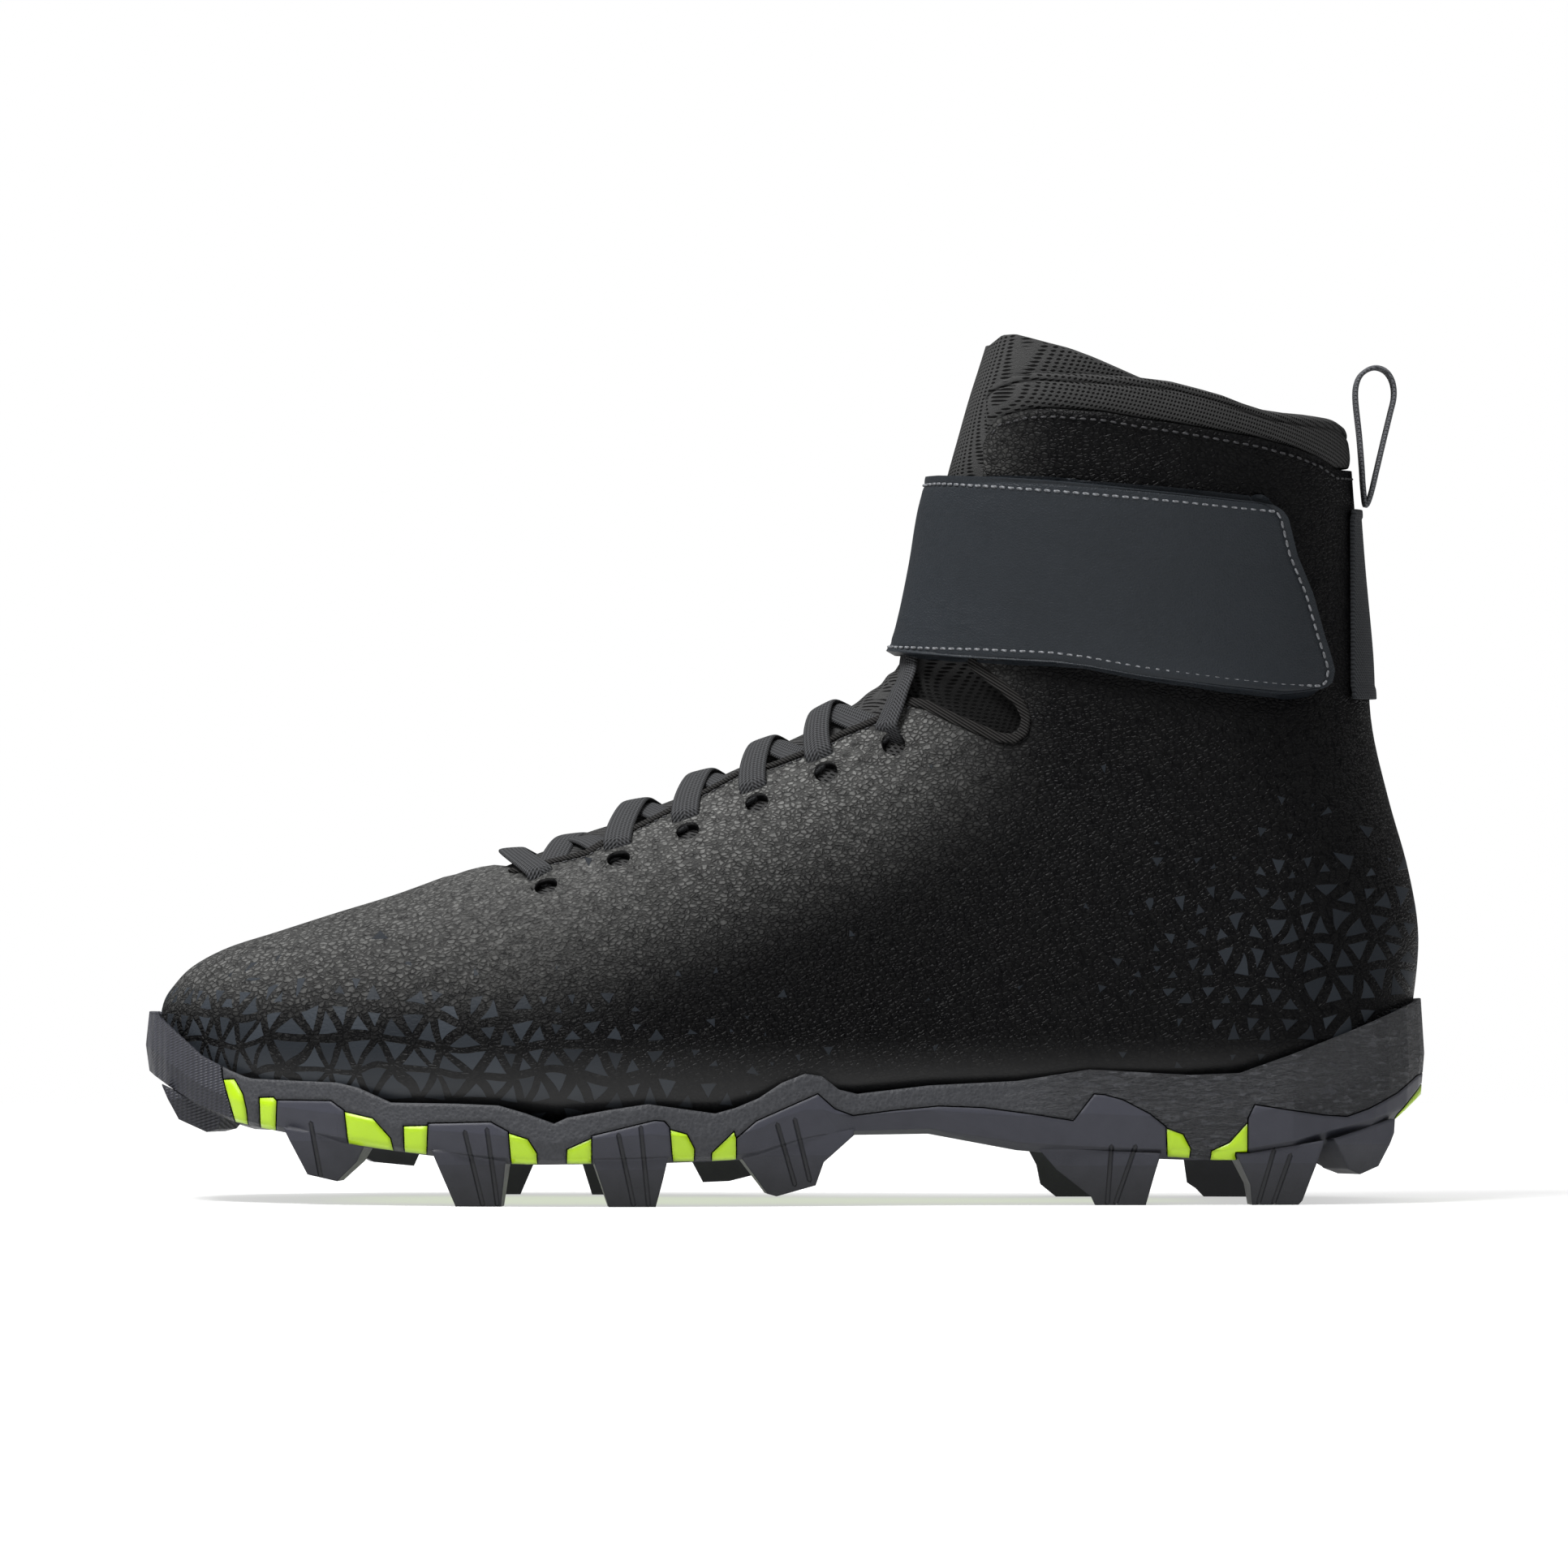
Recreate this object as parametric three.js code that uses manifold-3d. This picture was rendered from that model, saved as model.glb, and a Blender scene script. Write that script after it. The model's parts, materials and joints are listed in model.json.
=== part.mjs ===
// High-top american football cleat, left shoe: toe at -X, lateral side at -Y, ground at z = 0.
// Every fitted piece is cut from one last: a fan of section planes that stand upright at the toe
// and tip over the instep until they lie nearly level round the ankle.
import * as THREE from 'three';
import { mergeVertices } from 'three/addons/utils/BufferGeometryUtils.js';
import Module from 'manifold-3d';

const wasm = await Module();
wasm.setup();

// Driving sizes, in mm.
const LENGTH = 298;
const BODY_HEIGHT = 191.7; // underside at the ball to the top of the tongue
const STUD_LENGTH = 9.6; // ground to the underside at the ball
const BALL_WIDTH = 101;
const WAIST_WIDTH = 78;
const HEEL_WIDTH = 70;
const ANKLE_WIDTH = 66;
const COLLAR_WIDTH = 74;
const TOE_REACH = 40; // how far back the nose of the toe stays round
const WALL = 2.2; // upper
const FIT = 0.3; // clearance between pieces that meet
const LASTING_TRIM = 1.2; // the upper's lower edge above the footbed
const INSOLE_THICKNESS = 4;
const TONGUE_THICKNESS = 4.5;
const CUFF_PAD = 5;
const CUFF_DEPTH = 26;
const RIM_WIDTH = 2.4; // sole wall outside the foot's outline
const WALL_BULGE = 0.8;
const SOLE_EDGE = 3; // rounding of the sole's lower edge
const SKIN = 3; // thickness of the sole's side pieces
const TAB_DEPTH = 6;
const PLATE_THICKNESS = 3.2;
const WEB_THICKNESS = 1.6;
const WEB_WIDTH = 20;
const CORE_TIP = 5; // narrowest width of the middle inside the web
const STUD_DEPTH = 15;
const STUD_TIP_DEPTH = 8;
const STUD_LEAN = 2.6; // how far a stud's outer face leans in, down to its tip
const STUD_INSET = 0.4; // a stud's outer face inside the sole's edge
const STRAP_THICKNESS = 2.2;
const HEEL_TAB_THICKNESS = 1.3;
const LOOP_TAPE_WIDTH = 12;
const LOOP_TAPE_THICKNESS = 1.1;
const EYELET_DIAMETER = 5.2;
const LACE_WIDTH = 6.6;
const LACE_THICKNESS = 1.3;
const LACE_STEPS = 6;
const BAR_REACH = 0.45; // how far the bottom bar bows towards the toe, in section rows
const TIE_ROW = 17; // section row under the strap's lower edge, where the last strands end
const TIE_ANGLE = 9;

const HALF_TURN = 180;
const FAR = 150; // reach of a cutting solid past the shoe

// Side-view place: share of the length from the toe, share of the body height above the ball's underside.
const X = (along) => (along / 100 - 0.5) * LENGTH;
const Z = (up) => STUD_LENGTH + (up / 100) * BODY_HEIGHT;
const side = (points) => points.map(([along, up]) => [X(along), Z(up)]);

// The last. Each row is one section plane, seen from the side as a line from its front end to its
// back end. Columns: front along, front up, back along, back up, half width, offset of the middle
// and of the front ridge to the medial side, widest place from front to back, roundness of the
// front and of the back (2 is an ellipse, more is squarer), share of the back end under the foot.
const SECTIONS = [
  [1.0, 14.8, 1.0, 14.8, 0, 0.09, 0.09, 0.55, 2, 2.4, 1],
  [1.4, 18.8, 1.4, 11.3, 0.08 * BALL_WIDTH, 0.09, 0.09, 0.55, 2, 2.4, 1],
  [2.3, 21.1, 2.4, 9.8, 0.15 * BALL_WIDTH, 0.09, 0.09, 0.58, 2, 2.8, 1],
  [3.8, 23.4, 4.0, 8.8, 0.215 * BALL_WIDTH, 0.085, 0.09, 0.62, 2, 3.4, 1],
  [6.5, 25.6, 6.5, 8.0, 0.287 * BALL_WIDTH, 0.075, 0.09, 0.66, 2, 4, 1],
  [10.3, 27.5, 10.3, 7.1, 0.361 * BALL_WIDTH, 0.06, 0.09, 0.7, 2, 4.5, 1],
  [14.7, 29.7, 14.7, 6.0, 0.421 * BALL_WIDTH, 0.045, 0.09, 0.72, 2, 5, 1],
  [19.5, 32.0, 19.5, 5.0, 0.46 * BALL_WIDTH, 0.03, 0.09, 0.72, 1.95, 5, 1],
  [24.3, 34.7, 24.9, 4.6, 0.485 * BALL_WIDTH, 0.01, 0.085, 0.72, 1.9, 5, 1],
  [29.3, 37.3, 30.9, 3.9, 0.5 * BALL_WIDTH, -0.005, 0.08, 0.73, 1.85, 5, 1],
  [35.0, 40.5, 38.2, 3.9, 0.495 * BALL_WIDTH, -0.02, 0.07, 0.74, 1.85, 5.5, 1],
  [40.7, 43.9, 46.1, 4.5, 0.46 * BALL_WIDTH, -0.03, 0.06, 0.75, 1.85, 6, 1],
  [45.8, 47.7, 53.4, 6.5, 0.545 * WAIST_WIDTH, -0.035, 0.05, 0.75, 1.85, 7, 1],
  [50.3, 51.4, 61.7, 7.6, 0.5 * WAIST_WIDTH, -0.035, 0.04, 0.74, 1.9, 8, 1],
  [54.1, 54.8, 71.2, 7.8, 0.474 * WAIST_WIDTH, -0.03, 0.03, 0.73, 1.95, 8, 1],
  [56.5, 57.3, 80.7, 8.0, 0.514 * HEEL_WIDTH, -0.025, 0.02, 0.72, 2, 7, 1],
  [57.9, 59.3, 89.6, 8.4, 0.507 * HEEL_WIDTH, -0.02, 0.015, 0.7, 2, 5, 1],
  [58.6, 60.8, 96.0, 9.3, 0.5 * HEEL_WIDTH, -0.015, 0.01, 0.68, 2, 3.4, 0.8],
  [59.1, 62.5, 98.4, 12.5, 0.493 * HEEL_WIDTH, -0.01, 0.005, 0.66, 2, 2.7, 0.4],
  [59.6, 64.8, 99.1, 19.4, 0.486 * HEEL_WIDTH, 0, 0, 0.64, 2, 2.5, 0],
  [60.1, 68.2, 99.5, 27.3, 0.479 * HEEL_WIDTH, 0, 0, 0.61, 2, 2.4, 0],
  [60.6, 72.2, 98.7, 35.2, 0.5 * ANKLE_WIDTH, 0, 0, 0.57, 2, 2.3, 0],
  [61.0, 76.1, 97.2, 43.6, 0.492 * ANKLE_WIDTH, 0, 0, 0.53, 2.05, 2.2, 0],
  [61.5, 80.1, 95.9, 52.5, 0.492 * ANKLE_WIDTH, 0, 0, 0.5, 2.1, 2.1, 0],
  [62.0, 83.5, 95.5, 61.8, 0.5 * ANKLE_WIDTH, 0, 0, 0.48, 2.1, 2.1, 0],
  [62.8, 88.0, 94.9, 71.7, 0.46 * COLLAR_WIDTH, 0, 0, 0.47, 2.15, 2.1, 0],
  [63.6, 92.4, 94.5, 79.6, 0.473 * COLLAR_WIDTH, 0, 0, 0.47, 2.2, 2.15, 0],
  [64.5, 96.8, 94.2, 85.5, 0.486 * COLLAR_WIDTH, 0, 0, 0.47, 2.2, 2.2, 0],
  [65.5, 101.8, 93.8, 91.4, 0.5 * COLLAR_WIDTH, 0, 0, 0.47, 2.2, 2.2, 0],
];
const LAST_ROW = SECTIONS.length - 1;
const RING_COUNT = 29;
const RING_ANGLES = [0, 20, 40, 61, 83, 107, 128, 145, 162, 180];

// The foot's outline at the sole. Columns: along, half width, offset of the middle to the medial side.
const OUTLINE = [
  [1.1, 0.36 * BALL_WIDTH, 0.09],
  [6.5, 0.355 * BALL_WIDTH, 0.075],
  [10.3, 0.38 * BALL_WIDTH, 0.06],
  [14.7, 0.42 * BALL_WIDTH, 0.045],
  [19.5, 0.455 * BALL_WIDTH, 0.03],
  [24.6, 0.48 * BALL_WIDTH, 0.01],
  [30.3, 0.495 * BALL_WIDTH, -0.005],
  [37.0, 0.49 * BALL_WIDTH, -0.02],
  [44.5, 0.46 * BALL_WIDTH, -0.03],
  [51.2, 0.545 * WAIST_WIDTH, -0.035],
  [58.8, 0.5 * WAIST_WIDTH, -0.035],
  [66.9, 0.474 * WAIST_WIDTH, -0.03],
  [73.7, 0.507 * HEEL_WIDTH, -0.025],
  [80.7, 0.5 * HEEL_WIDTH, -0.02],
  [87.0, 0.493 * HEEL_WIDTH, -0.015],
  [98.9, 0.493 * HEEL_WIDTH, 0],
];
const TOE_ROUND = 15; // along the length, with a roundness of its own
const TOE_SQUARENESS = 2.2;
const HEEL_ROUND = 11.5;
const HEEL_SQUARENESS = 2.3;
const END_STATIONS = [0.006, 0.04, 0.12, 0.25];
const STATION_GAP = 0.3;

// Lines of the side view, as shares. The rim is the sole's top edge, the underside its lower face.
const RIM = [
  [0.3, 17.8], [1.0, 17.7], [3.3, 14.8], [5.4, 12.0], [7.6, 10.7], [8.7, 10.0], [9.3, 10.2],
  [15.9, 9.7], [17.5, 9.0], [20.0, 7.2], [25.1, 7.3], [28.2, 7.1], [30.3, 6.1], [32.4, 4.9],
  [33.4, 5.7], [36.6, 6.6], [39.5, 7.3], [44.6, 6.1], [46.1, 6.7], [47.9, 7.8], [49.7, 9.7],
  [51.5, 10.9], [52.8, 10.7], [54.1, 9.0], [55.5, 8.4], [61.1, 9.4], [67.9, 9.9], [73.5, 11.3],
  [81.3, 10.6], [85.1, 10.8], [89.1, 13.0], [95.2, 16.7], [99.3, 19.4], [99.8, 19.5],
];
const UNDERSIDE = [
  [-0.2, 10.3], [1.4, 8.6], [4.0, 6.4], [6.5, 4.8], [16.3, 2.2], [22.6, 1.0], [28.9, 0.0],
  [41.2, 0.2], [47.6, 0.6], [52.2, 2.5], [57.0, 3.9], [62.7, 3.5], [69.4, 1.1], [79.4, 0.4],
  [85.9, 0.4], [92.7, 2.2], [98.3, 5.0], [100.3, 7.0],
];

// Smooth panels of the outsole on the sole's side: upper lines, each closed downwards.
const PANELS = [
  [[-2, 22], [4.6, 22], [6.4, 11.6], [6.5, 10], [7.4, 5.2]],
  [[10.8, 3.7], [10.9, 7.5], [15.1, 7.5], [16.1, 6.4], [16.4, 2.2]],
  [[22.6, 1.5], [22.7, 4.9], [27.5, 5.1], [28.8, 4.0], [29.0, 0.2]],
  [[35.3, 0], [35.3, 3.5], [40.1, 5.3], [40.8, 5.2], [41.2, 4.5], [41.4, 0.6]],
  [
    [46.4, 0.9], [46.4, 3.2], [47.9, 5.2], [52.6, 8.4], [53.9, 6.6], [55.3, 5.8], [58.5, 6.4],
    [61.9, 6.9], [65.3, 6.7], [69.6, 5.8], [72.3, 5.1], [73.9, 8.3], [74.7, 8.2], [76.1, 7.6],
    [78.2, 5.9], [79.4, 4.4], [79.5, 0.3],
  ],
  [
    [85.8, 0.3], [85.8, 5.4], [86.3, 7.0], [91.7, 5.7], [93.5, 5.5], [95.2, 6.4], [97.5, 8.2],
    [99.2, 10.2], [101, 10.8], [101, 9.2], [99.6, 9.2], [97.5, 5.7], [96.8, 3.9],
  ],
];

// Windows of the sole's side through which the bright plate reaches the outside.
const WINDOWS = [
  [[6.5, 10], [7.5, 10.1], [8.2, 8.3], [8.5, 6.4], [8.7, 2.5], [7.6, 2.5], [7.4, 5.2]],
  [[9.4, 7.9], [10.6, 8.0], [10.9, 7.5], [10.8, 3.7], [10.8, 2.5], [9.5, 2.5]],
  [[16.1, 6.4], [18.4, 5.6], [19.8, 3.2], [20.2, 0.5], [16.5, 0.5], [16.4, 2.2]],
  [[20.7, 4.7], [22.7, 4.8], [22.6, 1.5], [22.6, -2], [20.8, -2]],
  [[28.8, 4.0], [30.4, 3.2], [31.1, 1.5], [31.2, -2], [29.0, -2], [29.0, 0.2]],
  [[33.3, 2.0], [35.3, 3.4], [35.3, -2], [33.2, -2]],
  [[41.2, 4.4], [42.6, 3.8], [43.2, 2.0], [43.1, -2], [41.4, -2], [41.4, 0.6]],
  [[44.4, 1.5], [46.2, 4.2], [46.4, 3.2], [46.4, -2], [44.3, -2]],
  [[79.4, 4.4], [80.8, 3.6], [81.4, 1.8], [81.2, -2], [79.5, -2], [79.5, 0.3]],
  [[82.9, 1.6], [84.3, 2.6], [85.8, 5.2], [85.8, -2], [82.6, -2]],
  [[96.8, 3.9], [97.5, 5.7], [99.6, 9.2], [101, 9.2], [101, 2], [96.8, 2]],
];

// Openings and edges of the upper and of what is sewn to it.
const THROAT = [
  [24.3, 34.5], [25.8, 35.3], [27.6, 35.7], [29.3, 35.1], [32.0, 36.3], [34.6, 37.3],
  [36.0, 38.6], [38.5, 40.4], [41.7, 42.9], [44.1, 44.9], [46.7, 47.1], [49.0, 47.9],
  [52.2, 49.9], [54.3, 51.7], [57.2, 53.6], [59.6, 55.7], [60.8, 55.4], [62.7, 53.9],
  [64.5, 52.7], [66.3, 51.5], [67.5, 51.4], [68.2, 52.2], [68.4, 54.0], [67.8, 55.9],
  [66.3, 57.9], [64.3, 60.2], [64.8, 67.8], [65.2, 77.6], [65.5, 84.5], [65.2, 91.4],
];
const THROAT_CLOSING = [[65.2, 93], [65.2, 200], [0, 200], [0, 60], [24.3, 37]]; // past the shoe
const COLLAR = [
  [65.2, 93.0], [66.3, 94.1], [67.6, 94.8], [69.1, 95.1], [73.1, 94.8], [76.8, 94.4],
  [79.8, 93.8], [82.1, 92.9], [84.0, 92.1], [85.7, 91.1], [87.4, 90.3], [89.7, 89.8],
  [92.0, 89.5], [93.1, 89.3], [93.8, 88.7], [94.3, 87.5], [94.6, 86.2],
];
const QUARTER_TOP = [
  [65.2, 85.5], [65.9, 88.2], [66.7, 89.7], [68.8, 90.5], [70.7, 90.6], [74.7, 90.1],
  [77.5, 89.3], [80.7, 88.6], [86.7, 87.0], [89.7, 85.8], [91.6, 84.7], [92.9, 83.4],
];
const TONGUE_OUTLINE = [
  [23.0, 35.6], [24.3, 31.0], [33.1, 30.0], [42.6, 34.5], [52.2, 40.0], [61.7, 45.0],
  [70.5, 45.5], [71.9, 55.9], [73.4, 71.7], [76.6, 85.5], [77.6, 94.0], [76.8, 94.5],
  [73.1, 96.9], [70.9, 98.2], [68.8, 99.2], [67.3, 100.0], [66.2, 100.0], [65.2, 98.9],
];
const STRAP_TOP = [
  [60.7, 81.8], [61.5, 82.2], [62.7, 82.3], [66.7, 82.1], [71.5, 81.6], [76.4, 80.9],
  [80.7, 80.3], [84.7, 79.7],
];
const STRAP_FREE_END = [
  [87.6, 79.1], [88.2, 78.5], [88.6, 77.6], [89.3, 73.2], [90.5, 68.7], [91.4, 63.7],
  [91.9, 61.3], [92.2, 59.6], [92.0, 58.1], [91.4, 57.4], [90.6, 57.1], [88.4, 56.7],
  [87.0, 56.8],
];
const STRAP_BOTTOM = [
  [84.2, 57.2], [81.3, 57.7], [77.5, 58.4], [73.7, 59.4], [71.1, 59.8], [64.0, 60.2],
  [57.5, 60.9],
];
const HEEL_TAB = [[93.9, 79.0], [97, 79.0], [98.5, 56.2], [93.9, 56.2]];
const PULL_LOOP = [
  [95.4, 79.3], [95.2, 81.6], [95.1, 84.0], [94.9, 87.8], [94.6, 92.4], [94.8, 94.5],
  [95.4, 95.6], [96.2, 96.0], [97.0, 95.5], [97.5, 94.2], [97.6, 92.4], [97.3, 90.3],
  [96.8, 87.1], [96.3, 83.8], [95.8, 80.6],
];

// Eyelets: section row and angle round the section from the ridge, in degrees.
const EYELETS = [[9.35, 35], [10.29, 32.5], [11.21, 30.7], [12.22, 31.6], [13.32, 32.6], [14.64, 34]];

// Studs, seen from the side, on the sole's edge. Columns: side (-1 lateral, 1 medial), along and
// share of the stud length above the ground for the corners from the front base round to the back.
const STUDS = [
  ['toe_lateral', -1, [[1.2, 2.8], [2.4, 1.99], [4.8, 1.69], [5.8, 1.76], [7.0, 2.3]], -30],
  ['toe_medial', 1, [[3.5, 2.4], [5.4, 1.83], [7.8, 1.61], [9.0, 1.75], [10.9, 2.1]], 30],
  ['front_lateral', -1, [[11.1, 2], [13.1, 0.73], [15.4, 0.57], [17.0, 1.04], [17.8, 1.5]], -9],
  ['front_medial', 1, [[12.6, 2], [15.2, 1.1], [17.0, 0.8], [20.2, 0.7], [21.1, 1.4]], 9],
  ['ball_front_lateral', -1, [[22.7, 1.5], [24.7, 0], [28.2, 0], [28.6, 1.04], [28.8, 1.4]], -4],
  ['ball_front_medial', 1, [[24.0, 1.5], [25.6, 0], [28.9, 0], [30.1, 0.9], [30.3, 1.4]], 4],
  ['ball_back_lateral', -1, [[35.3, 1.2], [36.6, 0], [40.2, 0], [40.7, 0.6], [41.2, 1.3]], 3],
  ['ball_back_medial', 1, [[33.9, 1.2], [35.0, 0], [38.6, 0], [39.4, 0.7], [39.7, 1.3]], -3],
  ['waist_lateral', -1, [[46.4, 1.3], [48.8, 0.3], [49.5, 0.24], [52.5, 0.5], [53.1, 1.06], [55.4, 1.7]], 5],
  ['waist_medial', 1, [[42.5, 1.2], [43.9, 0.32], [46.0, 0.35], [47.9, 0.5], [48.8, 1.1], [50, 1.6]], -5],
  ['heel_front_lateral', -1,
    [[69.5, 1.4], [71.0, 0.86], [73.7, 0.2], [74, 0], [77.9, 0], [78.6, 0.78], [79.1, 1.3]], 0],
  ['heel_front_medial', 1,
    [[68.8, 1.4], [69.9, 0.76], [70.2, 0.3], [71.4, 0], [75.4, 0], [76.4, 0.8], [76.7, 1.3]], 0],
  ['heel_back_lateral', -1, [[84.9, 1.2], [86, 0.5], [86.2, 0], [89.8, 0], [90.1, 0.1], [91.7, 1.5]], 6],
  ['heel_back_medial', 1,
    [[81.8, 1.2], [82.1, 0.35], [82.8, 0.2], [83.4, 0], [86.8, 0], [87.9, 0.8], [88.4, 1.3]], -6],
  ['heel_tip_lateral', -1, [[91.6, 1.7], [93.9, 0.85], [95.2, 0.71], [96.9, 0.9], [98.0, 1.7]], 38],
  ['heel_tip_medial', 1, [[91.0, 1.7], [93.3, 0.95], [94.6, 0.75], [96.2, 0.9], [97.3, 1.7]], -38],
];

const rad = (degrees) => (degrees * Math.PI) / HALF_TURN;
const mix = (a, b, share) => a + (b - a) * share;

// Smooth curve through the rows of a table, at a row number that may be a fraction.
function smoothRow(table, at) {
  const end = table.length - 1;
  const low = Math.min(Math.floor(at), end - 1);
  const t = at - low;
  const rows = [low - 1, low, low + 1, low + 2].map((i) => table[Math.min(Math.max(i, 0), end)]);
  return table[low].map((value, column) => {
    const [a, b, c, d] = rows.map((row) => row[column]);
    return b + 0.5 * t * (c - a + t * (2 * a - 5 * b + 4 * c - d + t * (3 * (b - c) + d - a)));
  });
}

// Height of a side-view line at a place along it.
function lineAt(points, x) {
  const found = points.findIndex(([px]) => px >= x);
  const next = found < 0 ? points.length - 1 : Math.max(1, found);
  const [[x0, z0], [x1, z1]] = [points[next - 1], points[next]];
  return mix(z0, z1, (x - x0) / (x1 - x0));
}

// Point of the last's surface grown outwards, and by its own amount under the foot.
function lastPoint(row, angle, growth, floor = growth) {
  const values = smoothRow(SECTIONS, row);
  const [frontX, frontZ, backX, backZ] = [X(values[0]), Z(values[1]), X(values[2]), Z(values[3])];
  const [half, middle, ridge] = [values[4], values[5] * BALL_WIDTH, values[6] * BALL_WIDTH];
  const [, , , , , , , widest, frontRound, backRound, under] = values;
  const lead = Math.max(0, 1 - (frontX - X(SECTIONS[0][0])) / TOE_REACH);
  const spread = Math.sqrt(1 - lead * lead);
  const length = Math.max(Math.hypot(backX - frontX, backZ - frontZ), 1e-6);
  const [dx, dz] = [(backX - frontX) / length, (backZ - frontZ) / length];
  const evenLength = length + 2 * growth * spread;
  const waist = widest * evenLength - growth * spread;
  const end = length + mix(growth, floor, under) * spread;
  const [c, s] = [Math.cos(rad(angle)), Math.sin(rad(angle))];
  const round = c > 0 ? frontRound : backRound;
  const reach = (Math.abs(c) ** round + Math.abs(s) ** round) ** (-1 / round);
  const distance = c > 0 ? waist - c * reach * widest * evenLength : waist - c * reach * (end - waist);
  const lean = Math.max(0, c * reach) ** 2;
  return [
    frontX + dx * distance - growth * lead,
    mix(middle, ridge, lean) + s * reach * (half + growth * spread),
    frontZ + dz * distance,
  ];
}

// Solid from closed rings of equally many points; a ring of one point closes an end.
function ringSolid(rings) {
  const points = [];
  const triangles = [];
  const starts = rings.map((ring) => {
    points.push(...ring);
    return points.length - ring.length;
  });
  for (let i = 1; i < rings.length; i += 1) {
    const [a, b] = [starts[i - 1], starts[i]];
    const count = Math.max(rings[i - 1].length, rings[i].length);
    for (let j = 0; j < count; j += 1) {
      const k = (j + 1) % count;
      if (rings[i - 1].length === 1) triangles.push([a, b + k, b + j]);
      else if (rings[i].length === 1) triangles.push([a + j, a + k, b]);
      else triangles.push([a + j, a + k, b + k], [a + j, b + k, b + j]);
    }
  }
  return meshSolid(points, triangles);
}

// Solid of the given points and triangles, faces turned outwards.
function meshSolid(points, triangles) {
  let volume = 0;
  for (const [a, b, c] of triangles) {
    const [p, q, r] = [points[a], points[b], points[c]].map((point) => new THREE.Vector3(...point));
    volume += p.dot(q.cross(r));
  }
  const turned = volume < 0 ? triangles.map(([a, b, c]) => [a, c, b]) : triangles;
  return new wasm.Manifold(new wasm.Mesh({
    numProp: 3,
    vertProperties: new Float32Array(points.flat()),
    triVerts: new Uint32Array(turned.flat()),
  }));
}

function geometrySolid(geometry) {
  geometry.deleteAttribute('normal');
  geometry.deleteAttribute('uv');
  const merged = mergeVertices(geometry, 1e-4);
  return new wasm.Manifold(new wasm.Mesh({
    numProp: 3,
    vertProperties: new Float32Array(merged.attributes.position.array),
    triVerts: new Uint32Array(merged.index.array),
  }));
}

// The closed last, grown by one amount round the foot and another under it.
function lastSolid(growth, floor = growth) {
  const around = [...RING_ANGLES, ...RING_ANGLES.slice(1, -1).reverse().map((angle) => -angle)];
  const rings = [[lastPoint(0, 0, growth, floor)]];
  for (let i = 1; i <= RING_COUNT; i += 1) {
    const row = (i / RING_COUNT) * LAST_ROW;
    rings.push(around.map((angle) => lastPoint(row, angle, growth, floor)));
  }
  const top = rings[rings.length - 1];
  rings.push([[0, 1, 2].map((axis) => (top[0][axis] + top[RING_ANGLES.length - 1][axis]) / 2)]);
  return ringSolid(rings);
}

// Straight cut through the shoe from side to side, from a side-view outline in mm.
function sideCut(points, from = -FAR, to = FAR) {
  const shape = new THREE.Shape(points.map(([x, z]) => new THREE.Vector2(x, z)));
  const geometry = new THREE.ExtrudeGeometry(shape, { depth: to - from, bevelEnabled: false });
  geometry.rotateX(Math.PI / 2);
  geometry.translate(0, to, 0);
  return geometrySolid(geometry);
}

// Upright cut from an outline seen from above, in mm.
function planCut(points) {
  const shape = new THREE.Shape(points.map(([x, y]) => new THREE.Vector2(x, y)));
  const geometry = new THREE.ExtrudeGeometry(shape, { depth: 2 * FAR, bevelEnabled: false });
  geometry.translate(0, 0, -FAR);
  return geometrySolid(geometry);
}

// Closed outline moved outwards (or inwards, below zero) by a distance.
function grown(points, distance) {
  let area = 0;
  points.forEach(([x, z], i) => {
    const [nx, nz] = points[(i + 1) % points.length];
    area += x * nz - nx * z;
  });
  const out = distance * Math.sign(area);
  return points.map(([x, z], i) => {
    const [ax, az] = points[(i + points.length - 1) % points.length];
    const [bx, bz] = points[(i + 1) % points.length];
    const [la, lb] = [Math.hypot(x - ax, z - az), Math.hypot(bx - x, bz - z)];
    const [nx, nz] = [(z - az) / la + (bz - z) / lb, -(x - ax) / la - (bx - x) / lb];
    const scale = (2 * out) / Math.max(nx * nx + nz * nz, 0.5);
    return [x + nx * scale, z + nz * scale];
  });
}

const joined = (solids) => solids.reduce((sum, solid) => sum.add(solid));
const rimLine = side(RIM);
const undersideLine = side(UNDERSIDE);

// Half of the sole's outline: pairs of lateral and medial points at the same places from toe to heel.
function outlinePairs() {
  const [start, end] = [OUTLINE[0][0], OUTLINE[OUTLINE.length - 1][0]];
  const ends = [...END_STATIONS.map((share) => start + share * TOE_ROUND),
    ...END_STATIONS.map((share) => end - share * HEEL_ROUND)];
  const firstInner = start + END_STATIONS[3] * TOE_ROUND + STATION_GAP;
  const lastInner = end - END_STATIONS[3] * HEEL_ROUND - STATION_GAP;
  const inner = RIM.map(([along]) => along).filter((along) => along > firstInner && along < lastInner);
  const stations = [start, ...ends, ...inner, end].sort((a, b) => a - b);
  return stations.map((along) => {
    const row = OUTLINE.findIndex(([place]) => place >= along);
    const low = Math.max(row - 1, 0);
    const share = row === 0 ? 0 : (along - OUTLINE[low][0]) / (OUTLINE[row][0] - OUTLINE[low][0]);
    const [, half, middle] = smoothRow(OUTLINE, low + share);
    const toe = Math.max(0, 1 - (along - start) / TOE_ROUND);
    const heel = Math.max(0, 1 - (end - along) / HEEL_ROUND);
    const round = (1 - toe ** TOE_SQUARENESS) ** (1 / TOE_SQUARENESS)
      * (1 - heel ** HEEL_SQUARENESS) ** (1 / HEEL_SQUARENESS);
    return [X(along), middle * BALL_WIDTH - half * round, middle * BALL_WIDTH + half * round];
  });
}

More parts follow.
